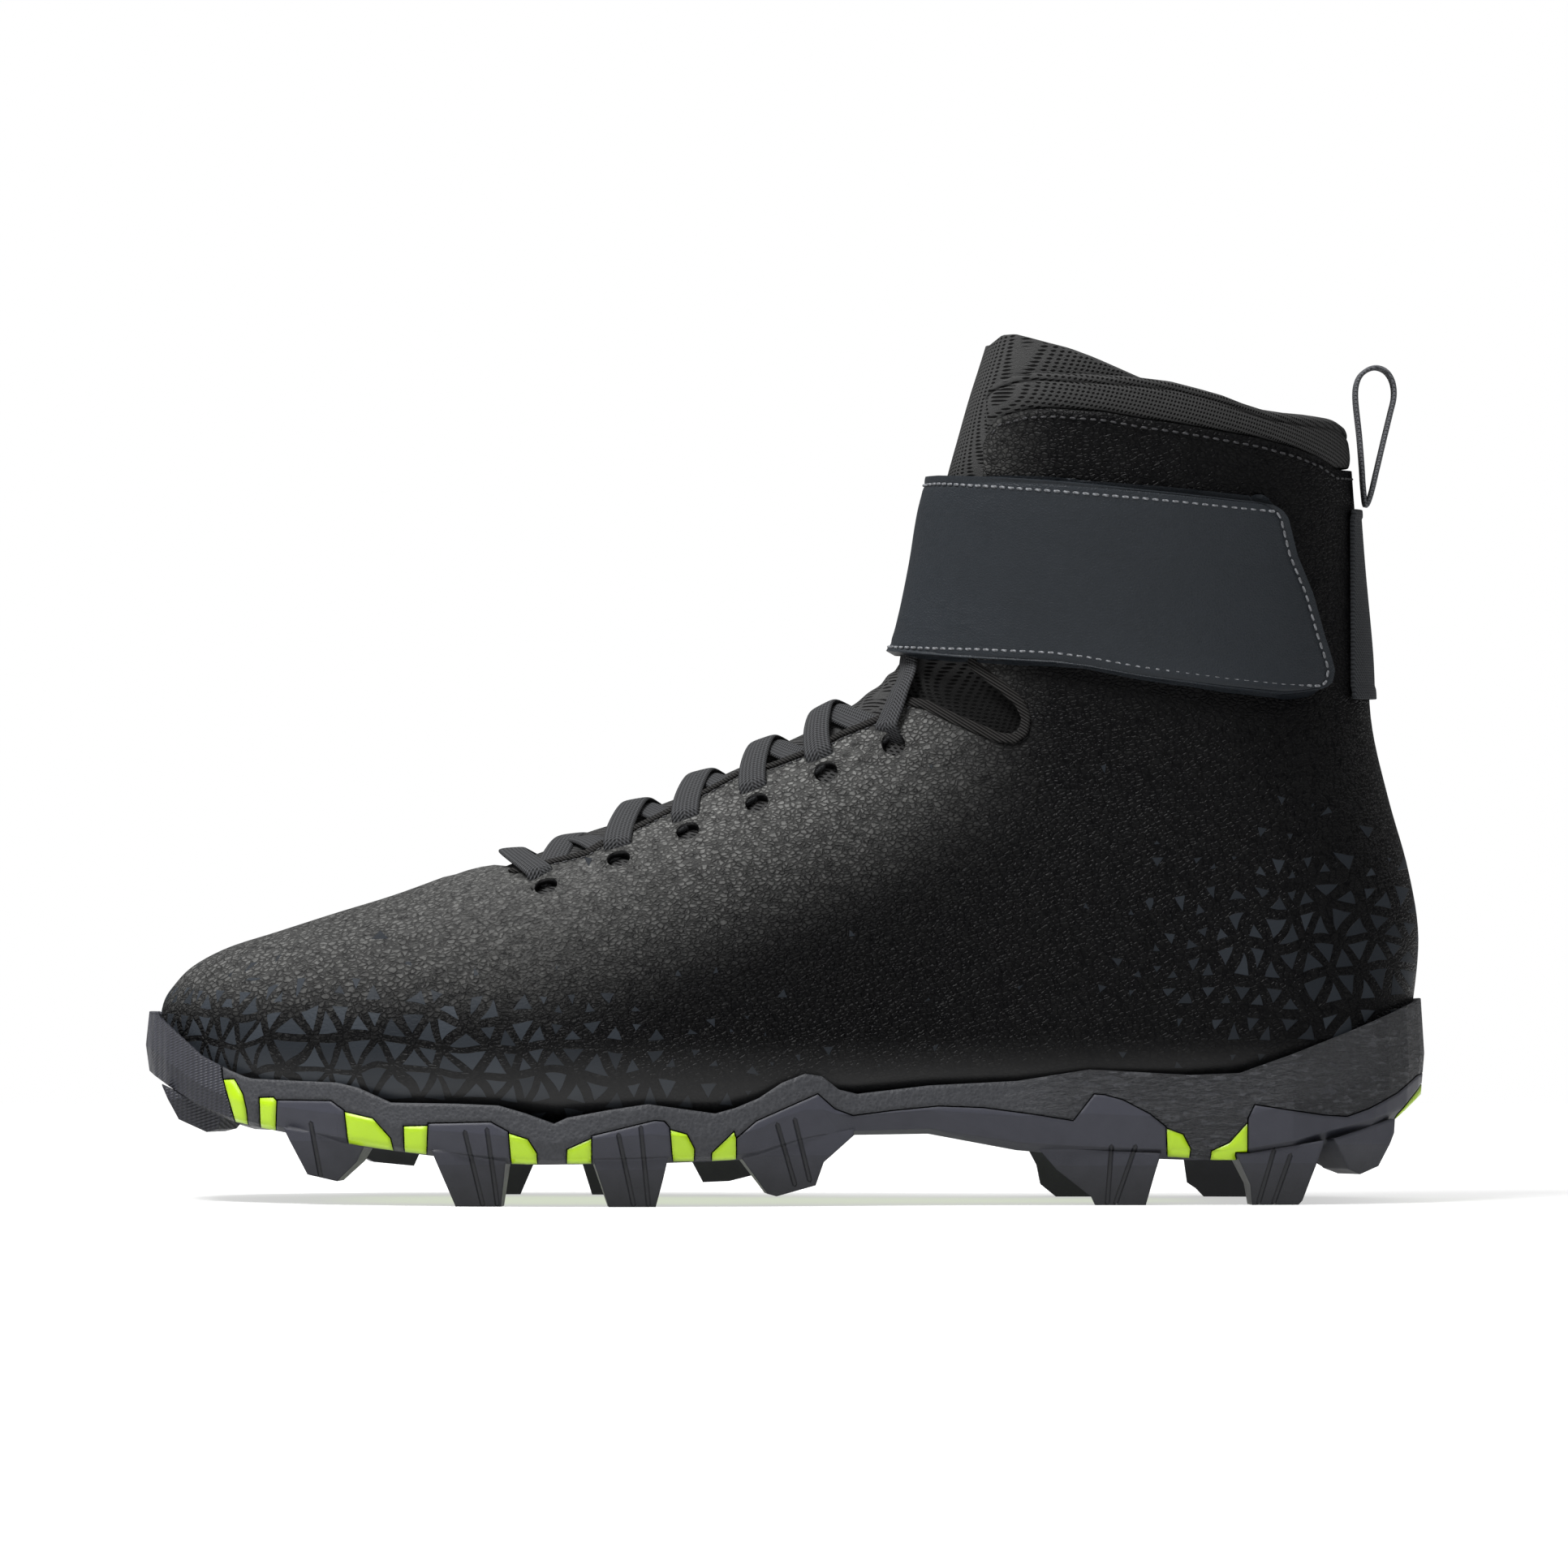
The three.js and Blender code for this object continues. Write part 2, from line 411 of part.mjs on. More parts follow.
const PAIRS = outlinePairs();
const around = (pairs) => [
  ...pairs.map(([x, lateral]) => [x, lateral]),
  ...pairs.slice(1, -1).reverse().map(([x, , medial]) => [x, medial]),
];
const COARSE_PAIRS = PAIRS.filter((pair, i) => i % 3 === 0 || i === PAIRS.length - 1);
const footOutline = around(PAIRS);
const soleOutline = (inset) => grown(footOutline, RIM_WIDTH - inset);
const innerOutline = (inset) => grown(around(COARSE_PAIRS), RIM_WIDTH - inset);

// Outline of the middle of the sole, inside the web: the foot's outline pulled in from all sides.
function coreOutline(inset) {
  const kept = COARSE_PAIRS.filter(([x, lateral, medial]) => medial - lateral > 2 * inset + CORE_TIP
    && x > PAIRS[0][0] + inset && x < PAIRS[PAIRS.length - 1][0] - inset);
  return [...kept.map(([x, lateral]) => [x, lateral + inset]),
    ...kept.reverse().map(([x, , medial]) => [x, medial - inset])];
}

// The sole's outer block: its wall from the rim down to the rounded lower edge, ruled across.
function soleBlock() {
  const wall = (share, inset) => soleOutline(inset).map(([x, y], i) => {
    const pair = i < PAIRS.length ? i : footOutline.length - i;
    const at = soleOutline(0)[pair][0];
    return [x, y, mix(lineAt(rimLine, at), lineAt(undersideLine, at), share)];
  });
  const levels = [wall(0, 0), wall(0.5, -WALL_BULGE), wall(0.88, 0), wall(1, SOLE_EDGE)];
  const count = footOutline.length;
  const points = levels.flat();
  const triangles = [];
  for (let level = 1; level < levels.length; level += 1) {
    for (let j = 0; j < count; j += 1) {
      const k = (j + 1) % count;
      const [a, b] = [(level - 1) * count, level * count];
      triangles.push([a + j, b + k, a + k], [a + j, b + j, b + k]);
    }
  }
  const last = (levels.length - 1) * count;
  for (let i = 1; i < PAIRS.length; i += 1) {
    const [a, b] = [i - 1, i];
    const [c, d] = [(count - a) % count, (count - b) % count];
    for (const [base, turn] of [[0, false], [last, true]]) {
      const faces = [[a, b, d], [a, d, c]].filter(([p, q, r]) => p !== q && q !== r && p !== r);
      faces.forEach(([p, q, r]) => {
        const [second, third] = turn ? [r, q] : [q, r];
        triangles.push([base + p, base + second, base + third]);
      });
    }
  }
  return meshSolid(points, triangles);
}

// Everything below a line that runs a given height above the sole's underside.
function underLayer(height) {
  const line = undersideLine.map(([x, z]) => [x, z + height]);
  const [first, final] = [line[0], line[line.length - 1]];
  return sideCut([[first[0] - FAR, first[1]], ...line, [final[0] + FAR, final[1]],
    [final[0] + FAR, -FAR], [first[0] - FAR, -FAR]]);
}

// Everything below a line that runs a given height above the footbed.
function underFootbed(height) {
  const rows = SECTIONS.slice(2, 17).map((row) => [X(row[2]), Z(row[3]) + height]);
  const [first, final] = [rows[0], rows[rows.length - 1]];
  return sideCut([[first[0] - FAR, first[1]], ...rows, [final[0] + FAR, final[1]],
    [final[0] + FAR, -FAR], [first[0] - FAR, -FAR]]);
}

const inside = (inset) => planCut(innerOutline(inset));
const aboveLine = (points) => sideCut([...points, [X(150), points[points.length - 1][1]],
  [X(150), Z(200)], [X(0), Z(200)], [X(0), points[0][1]]]);

// One stud: its side profile cut through a wedge that narrows towards the ground.
function stud([, hand, corners, turn], growth = 0) {
  const profile = corners.map(([along, share]) => [X(along), share * STUD_LENGTH]);
  const [front, back] = [profile[0], profile[profile.length - 1]];
  const middle = (front[0] + back[0]) / 2;
  const outline = PAIRS.map(([x, lateral, medial]) => [x, hand < 0 ? lateral : medial]);
  const edge = lineAt(outline, middle) + hand * (RIM_WIDTH - STUD_INSET);
  const top = Math.max(lineAt(undersideLine, front[0]), front[1], back[1]) + 2 * WEB_THICKNESS;
  const tip = Math.min(...profile.map(([, z]) => z));
  const above = profile.filter((corner, i) => i > 0 && i < profile.length - 1);
  const body = sideCut(grown([[front[0], top], front, ...above, back, [back[0], top]], growth));
  const outer = edge + hand * growth;
  const wedge = [
    [outer, top + growth], [outer - hand * 0.5, mix(tip, top, 0.55)], [outer - hand * STUD_LEAN, tip - growth],
    [edge - hand * (STUD_LEAN + STUD_TIP_DEPTH), tip - growth], [edge - hand * STUD_DEPTH, mix(tip, top, 0.75)],
    [edge - hand * (STUD_DEPTH + growth), top + growth],
  ];
  const shape = new THREE.Shape(wedge.map(([y, z]) => new THREE.Vector2(y, z)));
  const across = new THREE.ExtrudeGeometry(shape, { depth: 2 * FAR, bevelEnabled: false });
  across.rotateX(Math.PI / 2);
  across.rotateZ(Math.PI / 2);
  across.translate(middle - FAR, 0, 0);
  return body.intersect(geometrySolid(across))
    .translate([-middle, -edge, 0]).rotate([0, 0, turn]).translate([middle, edge, 0]);
}

const last = (growth, floor) => lastSolid(growth, floor);
const foot = last(FIT);
const sole = soleBlock().subtract(foot);

// Upper: the last less its inside, open at the throat, the collar, the eyelets and underneath.
const throatOutline = side([...THROAT, ...THROAT_CLOSING]);
const throatCut = sideCut(throatOutline);
const eyeletCuts = EYELETS.map(([row, angle]) => {
  const [x, , z] = lastPoint(row, angle, 0);
  const ring = new THREE.Path().absarc(x, z, EYELET_DIAMETER / 2, 0, 2 * Math.PI).getPoints(5);
  return sideCut(ring.slice(0, -1).map(({ x: px, y: pz }) => [px, pz]));
});
const shell = last(0).subtract(last(-WALL, WALL)).subtract(underFootbed(LASTING_TRIM));
const opened = shell.subtract(throatCut).subtract(joined(eyeletCuts));
const quarterTop = side(QUARTER_TOP);
const cuffEdge = [...quarterTop, [X(105), quarterTop[quarterTop.length - 1][1]]];
const upper = opened.subtract(aboveLine(cuffEdge));

// Collar cuff: the padded band above the quarter, with its lining down inside the back.
const bandBottom = cuffEdge.map(([x, z]) => [x, z + FIT]);
const band = last(0).subtract(last(-WALL)).subtract(throatCut)
  .intersect(aboveLine(bandBottom)).subtract(aboveLine(side(COLLAR)));
const padRegion = sideCut([...side(COLLAR).slice(6), [X(105), Z(86.2)], [X(105), Z(86) - CUFF_DEPTH],
  [X(79.8), Z(93.8) - CUFF_DEPTH]]);
const padding = last(0).subtract(last(-WALL - FIT - CUFF_PAD)).intersect(padRegion);
const quarterSpace = last(WALL).subtract(last(-WALL - FIT)).subtract(aboveLine(bandBottom));
const collarCuff = band.add(padding.subtract(quarterSpace));

const tongue = last(-WALL - FIT).subtract(last(-WALL - FIT - TONGUE_THICKNESS))
  .intersect(sideCut([...side(TONGUE_OUTLINE), [X(58), Z(95)], [X(30), Z(60)]]));

const insole = last(-WALL - FIT, 0).intersect(underFootbed(INSOLE_THICKNESS));

// Ankle strap: free end on the lateral side, sewn end on the medial side.
const strapShell = last(FIT + STRAP_THICKNESS).subtract(last(FIT));
const ahead = [[X(50), Z(60.9)], [X(50), Z(81.8)]];
const lateralOutline = [...side([...STRAP_TOP, ...STRAP_FREE_END, ...STRAP_BOTTOM]), ...ahead];
const lateralStrap = sideCut(lateralOutline, -FAR, 1);
const medialStrap = sideCut([...side([...STRAP_TOP, ...STRAP_BOTTOM]), ...ahead], -1, FAR);
const ankleStrap = strapShell.intersect(lateralStrap.add(medialStrap));

const heelTab = last(FIT + HEEL_TAB_THICKNESS).subtract(last(FIT)).intersect(sideCut(side(HEEL_TAB)));

// Pull loop: a closed band of tape standing above the heel tab.
const loopLine = side(PULL_LOOP);
const pullLoop = sideCut(grown(loopLine, LOOP_TAPE_THICKNESS / 2), -LOOP_TAPE_WIDTH / 2, LOOP_TAPE_WIDTH / 2)
  .subtract(sideCut(grown(loopLine, -LOOP_TAPE_THICKNESS / 2)));

// Laces: flat strands over the tongue. A strand leaves its eyelet over the throat edge, crosses the
// ridge and stops short of the far edge, on its way under it to the next eyelet. At the bottom a
// straight bar lies outside, and the first crossing passes under both edges.
function strand(places) {
  const centres = places.map(([row, angle, growth]) => new THREE.Vector3(...lastPoint(row, angle, growth)));
  const rings = places.map(([row, angle, growth], i) => {
    const out = new THREE.Vector3(...lastPoint(row, angle, growth + 1)).sub(centres[i]);
    const along = centres[Math.min(i + 1, centres.length - 1)].clone().sub(centres[Math.max(i - 1, 0)]);
    const across = new THREE.Vector3().crossVectors(along, out).setLength(LACE_WIDTH / 2);
    const up = new THREE.Vector3().crossVectors(across, along).setLength(LACE_THICKNESS / 2);
    const corner = (w, h) => centres[i].clone().addScaledVector(across, w).addScaledVector(up, h).toArray();
    return [corner(-1, -1), corner(1, -1), corner(1, 1), corner(-1, 1)];
  });
  const mean = (ring, axis) => ring.reduce((sum, point) => sum + point[axis], 0) / ring.length;
  const cap = (ring) => [[0, 1, 2].map((axis) => mean(ring, axis))];
  return ringSolid([cap(rings[0]), ...rings, cap(rings[rings.length - 1])]);
}

const LACE_OVER = FIT + LACE_THICKNESS / 2 + 0.1;
const LACE_UNDER = LACE_THICKNESS / 2 - WALL + 0.1;
// Smooth step from 0 to 1 as the share goes from the start to the end.
function ease(share, start, end) {
  const t = Math.min(Math.max((share - start) / (end - start), 0), 1);
  return t * t * (3 - 2 * t);
}
const laceHeight = (share) => mix(LACE_OVER, LACE_UNDER, ease(share, 0.45, 0.75));
const laceSteps = Array.from({ length: LACE_STEPS + 1 }, (_, i) => i / LACE_STEPS);
const throatSpace = sideCut(grown(throatOutline, -FIT));
const laceKeepOut = last(FIT).subtract(throatSpace).add(last(-WALL));

// The main body of a cut strand, without crumbs that the cut leaves past the edge.
const mainBody = (solid) => solid.decompose().reduce((a, b) => (b.volume() > a.volume() ? b : a));

function crossing([fromRow, fromAngle], [toRow, toAngle], hand, height) {
  return strand(laceSteps.map((share) => [
    mix(fromRow, toRow, share), hand * mix(fromAngle, -toAngle, share), height(share),
  ]));
}
const [barRow, barAngle] = EYELETS[0];
const laceBar = strand(laceSteps.map((share) => [
  barRow - BAR_REACH * Math.sin(Math.PI * share), mix(-barAngle, barAngle, share), LACE_OVER,
])).subtract(laceKeepOut);
const laceCrossings = EYELETS.slice(1).map((eyelet, i) => {
  const height = i === 0 ? () => LACE_UNDER : laceHeight;
  const strands = [-1, 1].map((hand) => crossing(EYELETS[i], eyelet, hand, height));
  return mainBody(joined(strands).subtract(laceKeepOut));
});
const strapOutline = grown([...side([...STRAP_TOP, ...STRAP_BOTTOM]), ...ahead], FIT);
const strapSpace = last(STRAP_THICKNESS + 2 * FIT).subtract(last(0)).intersect(sideCut(strapOutline));
const topEyelet = EYELETS[EYELETS.length - 1];
const laceEnds = [-1, 1].map((hand) => mainBody(strand(laceSteps.map((share) => [
  mix(topEyelet[0], TIE_ROW, share), hand * mix(topEyelet[1], TIE_ANGLE, share),
  mix(LACE_OVER, LACE_UNDER + 0.1, ease(share, 0.3, 0.8)),
])).subtract(laceKeepOut).subtract(strapSpace)));

// Outsole: side panels, the web under the edge of the foot and the studs.
const web = sole.intersect(underLayer(WEB_THICKNESS)).intersect(inside(SKIN - FIT))
  .subtract(planCut(coreOutline(WEB_WIDTH)));
const panelCuts = (growth) => joined(PANELS.map((points) => {
  const lower = [[points[points.length - 1][0], -12], [points[0][0], -12]];
  return sideCut(grown(side([...points, ...lower]), growth));
}));
const panels = sole.intersect(panelCuts(0)).subtract(inside(SKIN));
const studs = STUDS.map((row) => stud(row).intersect(underLayer(WEB_THICKNESS)));
const outsole = joined([web, panels, ...studs]);

// Bright plate: a layer over the web, showing in the middle, with tabs out to the windows.
const windowCuts = (growth) => joined(WINDOWS.map((points) => sideCut(grown(side(points), growth))));
const plateLayer = sole.intersect(underLayer(PLATE_THICKNESS)).intersect(inside(SKIN + FIT));
const tabs = sole.intersect(windowCuts(-FIT)).subtract(inside(TAB_DEPTH));
const webSpace = underLayer(WEB_THICKNESS + FIT).intersect(inside(SKIN - 2 * FIT))
  .subtract(planCut(coreOutline(WEB_WIDTH + FIT)));
const panelSpace = panelCuts(FIT).subtract(inside(SKIN + FIT));
const studSpace = joined(STUDS.map((row) => stud(row, FIT))).intersect(underLayer(WEB_THICKNESS + FIT));
const solePlate = plateLayer.add(tabs).subtract(webSpace).subtract(panelSpace).subtract(studSpace);

// Midsole: the textured side wall and the layer under the foot.
const plateSpace = underLayer(PLATE_THICKNESS + FIT).intersect(inside(SKIN - 2 * FIT));
const windowSpace = windowCuts(0).subtract(inside(TAB_DEPTH + FIT));
const midsole = sole.subtract(plateSpace).subtract(panelSpace).subtract(windowSpace).subtract(studSpace);

const BLACK_LEATHER = { color: 0x121214, roughness: 0.5 };
const SLATE_LEATHER = { color: 0x2d3236, roughness: 0.45 };
const BLACK_MESH = { color: 0x17171a, roughness: 0.9 };
const GREY_PLASTIC = { color: 0x3c3f46, roughness: 0.5 };
const TEXTURED_PLASTIC = { color: 0x3e3f43, roughness: 0.6 };
const LIME_PLASTIC = { color: 0xb7de05, roughness: 0.45 };
const GREY_WEBBING = { color: 0x3c3d40, roughness: 0.85 };

function mesh(name, solid, look) {
  const { vertProperties, triVerts } = solid.getMesh();
  const geometry = new THREE.BufferGeometry();
  geometry.setAttribute('position', new THREE.BufferAttribute(vertProperties, 3));
  geometry.setIndex(new THREE.BufferAttribute(triVerts, 1));
  geometry.computeVertexNormals();
  const made = new THREE.Mesh(geometry, new THREE.MeshStandardMaterial({ metalness: 0, ...look }));
  made.name = name;
  return made;
}

const cleat = new THREE.Group();
cleat.add(
  mesh('outsole', outsole, GREY_PLASTIC),
  mesh('sole_plate', solePlate, LIME_PLASTIC),
  mesh('midsole', midsole, TEXTURED_PLASTIC),
  mesh('insole', insole, BLACK_MESH),
  mesh('upper', upper, BLACK_LEATHER),
  mesh('collar_cuff', collarCuff, BLACK_MESH),
  mesh('tongue', tongue, BLACK_MESH),
  mesh('lace_bar', laceBar, GREY_WEBBING),
  ...laceCrossings.map((solid, i) => mesh(`lace_crossing_${i + 1}`, solid, GREY_WEBBING)),
  mesh('lace_end_lateral', laceEnds[0], GREY_WEBBING),
  mesh('lace_end_medial', laceEnds[1], GREY_WEBBING),
  mesh('ankle_strap', ankleStrap, SLATE_LEATHER),
  mesh('heel_tab', heelTab, GREY_WEBBING),
  mesh('pull_loop', pullLoop, GREY_WEBBING),
);

export default cleat;
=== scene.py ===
# High-top american football cleat, left shoe, seen from its lateral side with the toe to the left.
import json
import math

import bmesh
import bpy
import numpy as np
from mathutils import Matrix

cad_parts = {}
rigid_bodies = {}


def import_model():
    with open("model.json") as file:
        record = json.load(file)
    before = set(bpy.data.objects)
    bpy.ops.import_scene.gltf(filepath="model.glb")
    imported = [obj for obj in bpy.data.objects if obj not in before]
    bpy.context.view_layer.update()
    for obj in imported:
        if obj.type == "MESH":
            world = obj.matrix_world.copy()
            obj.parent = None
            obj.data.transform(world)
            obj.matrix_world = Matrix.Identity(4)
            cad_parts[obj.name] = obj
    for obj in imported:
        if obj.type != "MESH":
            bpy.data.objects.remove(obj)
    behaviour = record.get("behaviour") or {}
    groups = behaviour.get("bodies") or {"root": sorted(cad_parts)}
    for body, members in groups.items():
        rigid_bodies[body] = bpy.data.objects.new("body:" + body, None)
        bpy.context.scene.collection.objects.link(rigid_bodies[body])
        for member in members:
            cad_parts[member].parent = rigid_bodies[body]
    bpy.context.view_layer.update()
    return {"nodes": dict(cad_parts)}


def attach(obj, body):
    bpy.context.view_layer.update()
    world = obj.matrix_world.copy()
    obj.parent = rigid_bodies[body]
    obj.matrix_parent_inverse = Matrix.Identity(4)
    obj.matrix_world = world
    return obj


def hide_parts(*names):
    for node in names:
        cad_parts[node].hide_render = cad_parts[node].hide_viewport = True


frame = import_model()
nodes = frame["nodes"]
for stray in [o for o in bpy.data.objects if o.name in ("Cube", "Light", "Camera")]:
    bpy.data.objects.remove(stray)


# Outsole: the slate grey nylon plate moulded in one piece with its side panels and its studs.
# Satin plastic, a little darker towards the ground, with a fine moulded hatch on the toe bumper. Painted
# shade darkens its faces turned down, the stud grooves and the hatch's pits.
class Value:
    """One socket of a material. Arithmetic and comparison with it add Math nodes."""

    def __init__(self, finish, socket):
        self.finish, self.socket = finish, socket

    def math(self, operation, *others):
        return self.finish.node("Math", {"operation": operation}, dict(enumerate((self, *others))))

    def __add__(self, other):
        return self.math("ADD", other)

    def __radd__(self, other):
        return self.math("ADD", other)

    def __sub__(self, other):
        return self.math("SUBTRACT", other)

    def __rsub__(self, other):
        return self.finish.node("Math", {"operation": "SUBTRACT"}, {0: other, 1: self})

    def __mul__(self, other):
        return self.math("MULTIPLY", other)

    def __rmul__(self, other):
        return self.math("MULTIPLY", other)

    def __truediv__(self, other):
        return self.math("DIVIDE", other)

    def __gt__(self, other):
        return self.math("GREATER_THAN", other)

    def above(self, low, high):
        """0 below low, 1 above high, smooth between."""
        return self.finish.node("MapRange", {"interpolation_type": "SMOOTHSTEP"}, {0: self, 1: low, 2: high})

    def axis(self, index):
        return self.finish.node("SeparateXYZ", {}, {0: self}, index)


class Finish:
    """A new material round one principled shader, whose constant sockets are given by name."""

    def __init__(self, name, **constants):
        self.material = bpy.data.materials.new(name)
        self.material.use_nodes = True
        self.tree = self.material.node_tree
        self.shader = self.tree.nodes["Principled BSDF"]
        for socket, value in constants.items():
            self.shader.inputs[socket.replace("_", " ")].default_value = value

    def node(self, kind, settings=None, sockets=None, output=0):
        """Adds a shader node of this kind: first its settings, then the values or links of its sockets."""
        made = self.tree.nodes.new("ShaderNode" + kind)
        for setting, value in (settings or {}).items():
            setattr(made, setting, value)
        for socket, value in (sockets or {}).items():
            if isinstance(value, Value):
                self.tree.links.new(value.socket, made.inputs[socket])
            else:
                made.inputs[socket].default_value = value
        return Value(self, made.outputs[output])

    def place(self):
        """The point being shaded, in metres in the shoe's frame."""
        return self.node("TexCoord", output="Object")

    def colour(self, factor, first, second):
        """Colour that goes from the first to the second as the factor goes from 0 to 1."""
        return self.node("Mix", {"data_type": "RGBA"}, {0: factor, 6: first, 7: second}, 2)

    def noise(self, place, per_metre, detail=3.0, roughness=0.5):
        """Soft cloudy values round 0.5, with so many clouds to the metre."""
        sockets = {"Vector": place, "Scale": per_metre, "Detail": detail, "Roughness": roughness}
        return self.node("TexNoise", {}, sockets)

    def cells(self, place, per_metre, feature="DISTANCE_TO_EDGE"):
        """Irregular cells, so many to the metre: the distance to their edges or middles."""
        return self.node("TexVoronoi", {"feature": feature}, {"Vector": place, "Scale": per_metre})

    def vector(self, operation, *values, output=0):
        """Vector maths on values or links, given in the order of the node's sockets."""
        return self.node("VectorMath", {"operation": operation}, dict(enumerate(values)), output)

    def drive(self, **sockets):
        """Links the shader's sockets, such as Base_Color or Normal, to what varies over the surface."""
        for socket, value in sockets.items():
            self.tree.links.new(value.socket, self.shader.inputs[socket.replace("_", " ")])
        return self.material

    def relief(self, height, depth, normal=None):
        """Bump of the given height (0 to 1) and depth in metres."""
        sockets = {"Height": height, "Distance": depth, "Strength": 1.0}
        if normal is not None:
            sockets["Normal"] = normal
        return self.node("Bump", {}, sockets)


def paint(red, green, blue):
    """Scene colour of a screen colour given from 0 to 255."""
    shares = np.array([red, green, blue]) / 255
    linear = np.where(shares <= 0.04045, shares / 12.92, ((shares + 0.055) / 1.055) ** 2.4)
    return (*linear.tolist(), 1.0)


def coat(piece, material):
    """Gives the piece this one material."""
    piece.data.materials.clear()
    piece.data.materials.append(material)


# Grooves down the lateral faces of the studs, cut in relief and darkened with painted shade, in mm. Columns:
# along and up at the top, then at the tip.
STUD_GROOVES = [
    [-108.7, 18.9, -106.4, 6.0], [-73.0, 17.2, -69.0, 0.5],
    [-67.9, 17.8, -65.6, 0.5], [-37.8, 16.6, -34.4, 0.5],
    [-32.7, 18.3, -31.0, 0.5], [-1.5, 18.9, 2.5, 5.0], [2.5, 20.0, 5.9, 6.0], [75.2, 13.6, 74.3, 0.5],
    [80.7, 13.6, 76.2, 0.5], [112.6, 12.7, 109.1, 0.5], [116.4, 11.5, 112.6, 0.5],
]


def stroke(x, z, line, width):
    """1 on a straight line drawn in the side view, 0 beyond half its width, all in mm."""
    x0, z0, x1, z1 = line
    length = math.hypot(x1 - x0, z1 - z0)
    way_x, way_z = (x1 - x0) / length, (z1 - z0) / length
    along = (x - x0) * way_x + (z - z0) * way_z
    past = along.math("MINIMUM", 0.0).math("ABSOLUTE") + (along - length).math("MAXIMUM", 0.0)
    across = ((x - x0) * way_z - (z - z0) * way_x).math("ABSOLUTE")
    return 1 - (across + past).above(width * 0.25, width * 0.75)


def outsole_plastic():
    """Satin nylon: darker low down, with painted shade on faces turned down, in the grooves on the studs and
    in the pits of the hatched toe.
    """
    finish = Finish("outsole plastic", Specular_IOR_Level=0.3)
    place = finish.place()
    x, z = place.axis(0) * 1000, place.axis(2) * 1000
    mottle = finish.noise(place, 260, 4)
    low = 1 - z.above(1.0, 17.0)
    # Painted shade: faces turned towards the ground are darkened.
    under = 1 - finish.node("NewGeometry", output="Normal").axis(2).above(-0.5, 0.1)
    toe = 1 - x.above(-126.5, -124.5)
    lateral = 1 - place.axis(1).above(-0.012, 0.0)
    grooves = stroke(x, z, STUD_GROOVES[0], 0.9)
    for line in STUD_GROOVES[1:]:
        grooves = grooves.math("MAXIMUM", stroke(x, z, line, 0.9))
    grooves = grooves * lateral
    hatch = (x * 0.55 + z + place.axis(1) * 400) * 4.6
    counter = (x * -0.7 + z + place.axis(1) * 300) * 4.6
    ridges = hatch.math("SINE") * counter.math("SINE") * 0.5 + 0.5
    grit = finish.noise(place, 2600, 2)
    height = ridges * toe * 2.2 + grit * 0.3 * (1 - toe) + 1 - grooves * 3
    # Painted shade in the pits between the toe hatch's ridges.
    painted_pit_shade = (1 - ridges) * toe * 0.6
    # Colour mix: darker low down and a random mottle, with painted shade on faces turned down, in the stud
    # grooves and in the hatch's pits.
    shade = (low * 0.55 + mottle * 0.25 + under * 0.5 + grooves * 0.7 + painted_pit_shade).math("MINIMUM", 1.0)
    return finish.drive(
        Base_Color=finish.colour(shade, paint(53, 54, 63), paint(22, 23, 27)),
        Roughness=0.4 + mottle * 0.16 + toe * 0.05,
        Normal=finish.relief(height, 0.00016, finish.node("Bevel", {"samples": 6}, {"Radius": 0.0011})),
    )


coat(nodes["outsole"], outsole_plastic())

# Sole plate: the bright lime plate between outsole and midsole, moulded in a firm satin plastic.
# Its tabs reach out through the windows of the side wall.


def lime_plastic():
    """Satin lime plastic with faint clouds and softly rounded edges."""
    finish = Finish("lime plastic", Roughness=0.38, Specular_IOR_Level=0.5)
    place = finish.place()
    cloud = finish.noise(place, 120, 3)
    edge = finish.node("Bevel", {"samples": 8}, {"Radius": 0.0022})
    return finish.drive(
        Base_Color=finish.colour(cloud, paint(150, 184, 2), paint(164, 200, 4)),
        Normal=finish.relief(finish.noise(place, 1800, 2), 0.00004, edge),
    )


coat(nodes["sole_plate"], lime_plastic())

# Midsole: the grey side wall and the layer under the foot, one moulding of firm foamed rubber.
# Its skin has a fine leathery stipple, with soft wrinkles round the heel; painted shade darkens their
# hollows.


def wall_rubber():
    """Stippled rubber: pores, small round cells and, at the heel, wrinkles that run along the wall.
    Its colour darkens where the relief sinks: painted shade in the pores, cells and wrinkles.
    """
    finish = Finish("side wall rubber", Specular_IOR_Level=0.2)
    place = finish.place()
    stipple = finish.cells(place, 1300, "F1")
    pores = finish.noise(place, 700, 5, 0.6)
    heel = place.axis(0).above(0.045, 0.085)
    stretched = finish.node("Mapping", {}, {0: place, "Rotation": (0, 0.5, 0), "Scale": (0.8, 0.8, 2.6)})
    wrinkles = finish.noise(stretched, 260, 6, 0.65).above(0.38, 0.62)
    height = pores * 0.9 + stipple * 0.4 + wrinkles * heel * 4.5
    # Painted shade: the colour darkens where the pores, the cells' middles and the wrinkles sink.
    painted_hollow_shade = pores * 0.6 + stipple * 0.5 + (wrinkles - 0.5) * heel * 0.3
    return finish.drive(
        Base_Color=finish.colour(painted_hollow_shade, paint(36, 37, 41), paint(62, 63, 66)),
        Roughness=0.42 + pores * 0.2,
        Normal=finish.relief(height, 0.0003, finish.node("Bevel", {"samples": 8}, {"Radius": 0.0016})),
    )


coat(nodes["midsole"], wall_rubber())

# Insole: the sock liner, a black woven cover on thin foam.
# It is cut to the outline of the foot and lies loose on the board inside the upper.


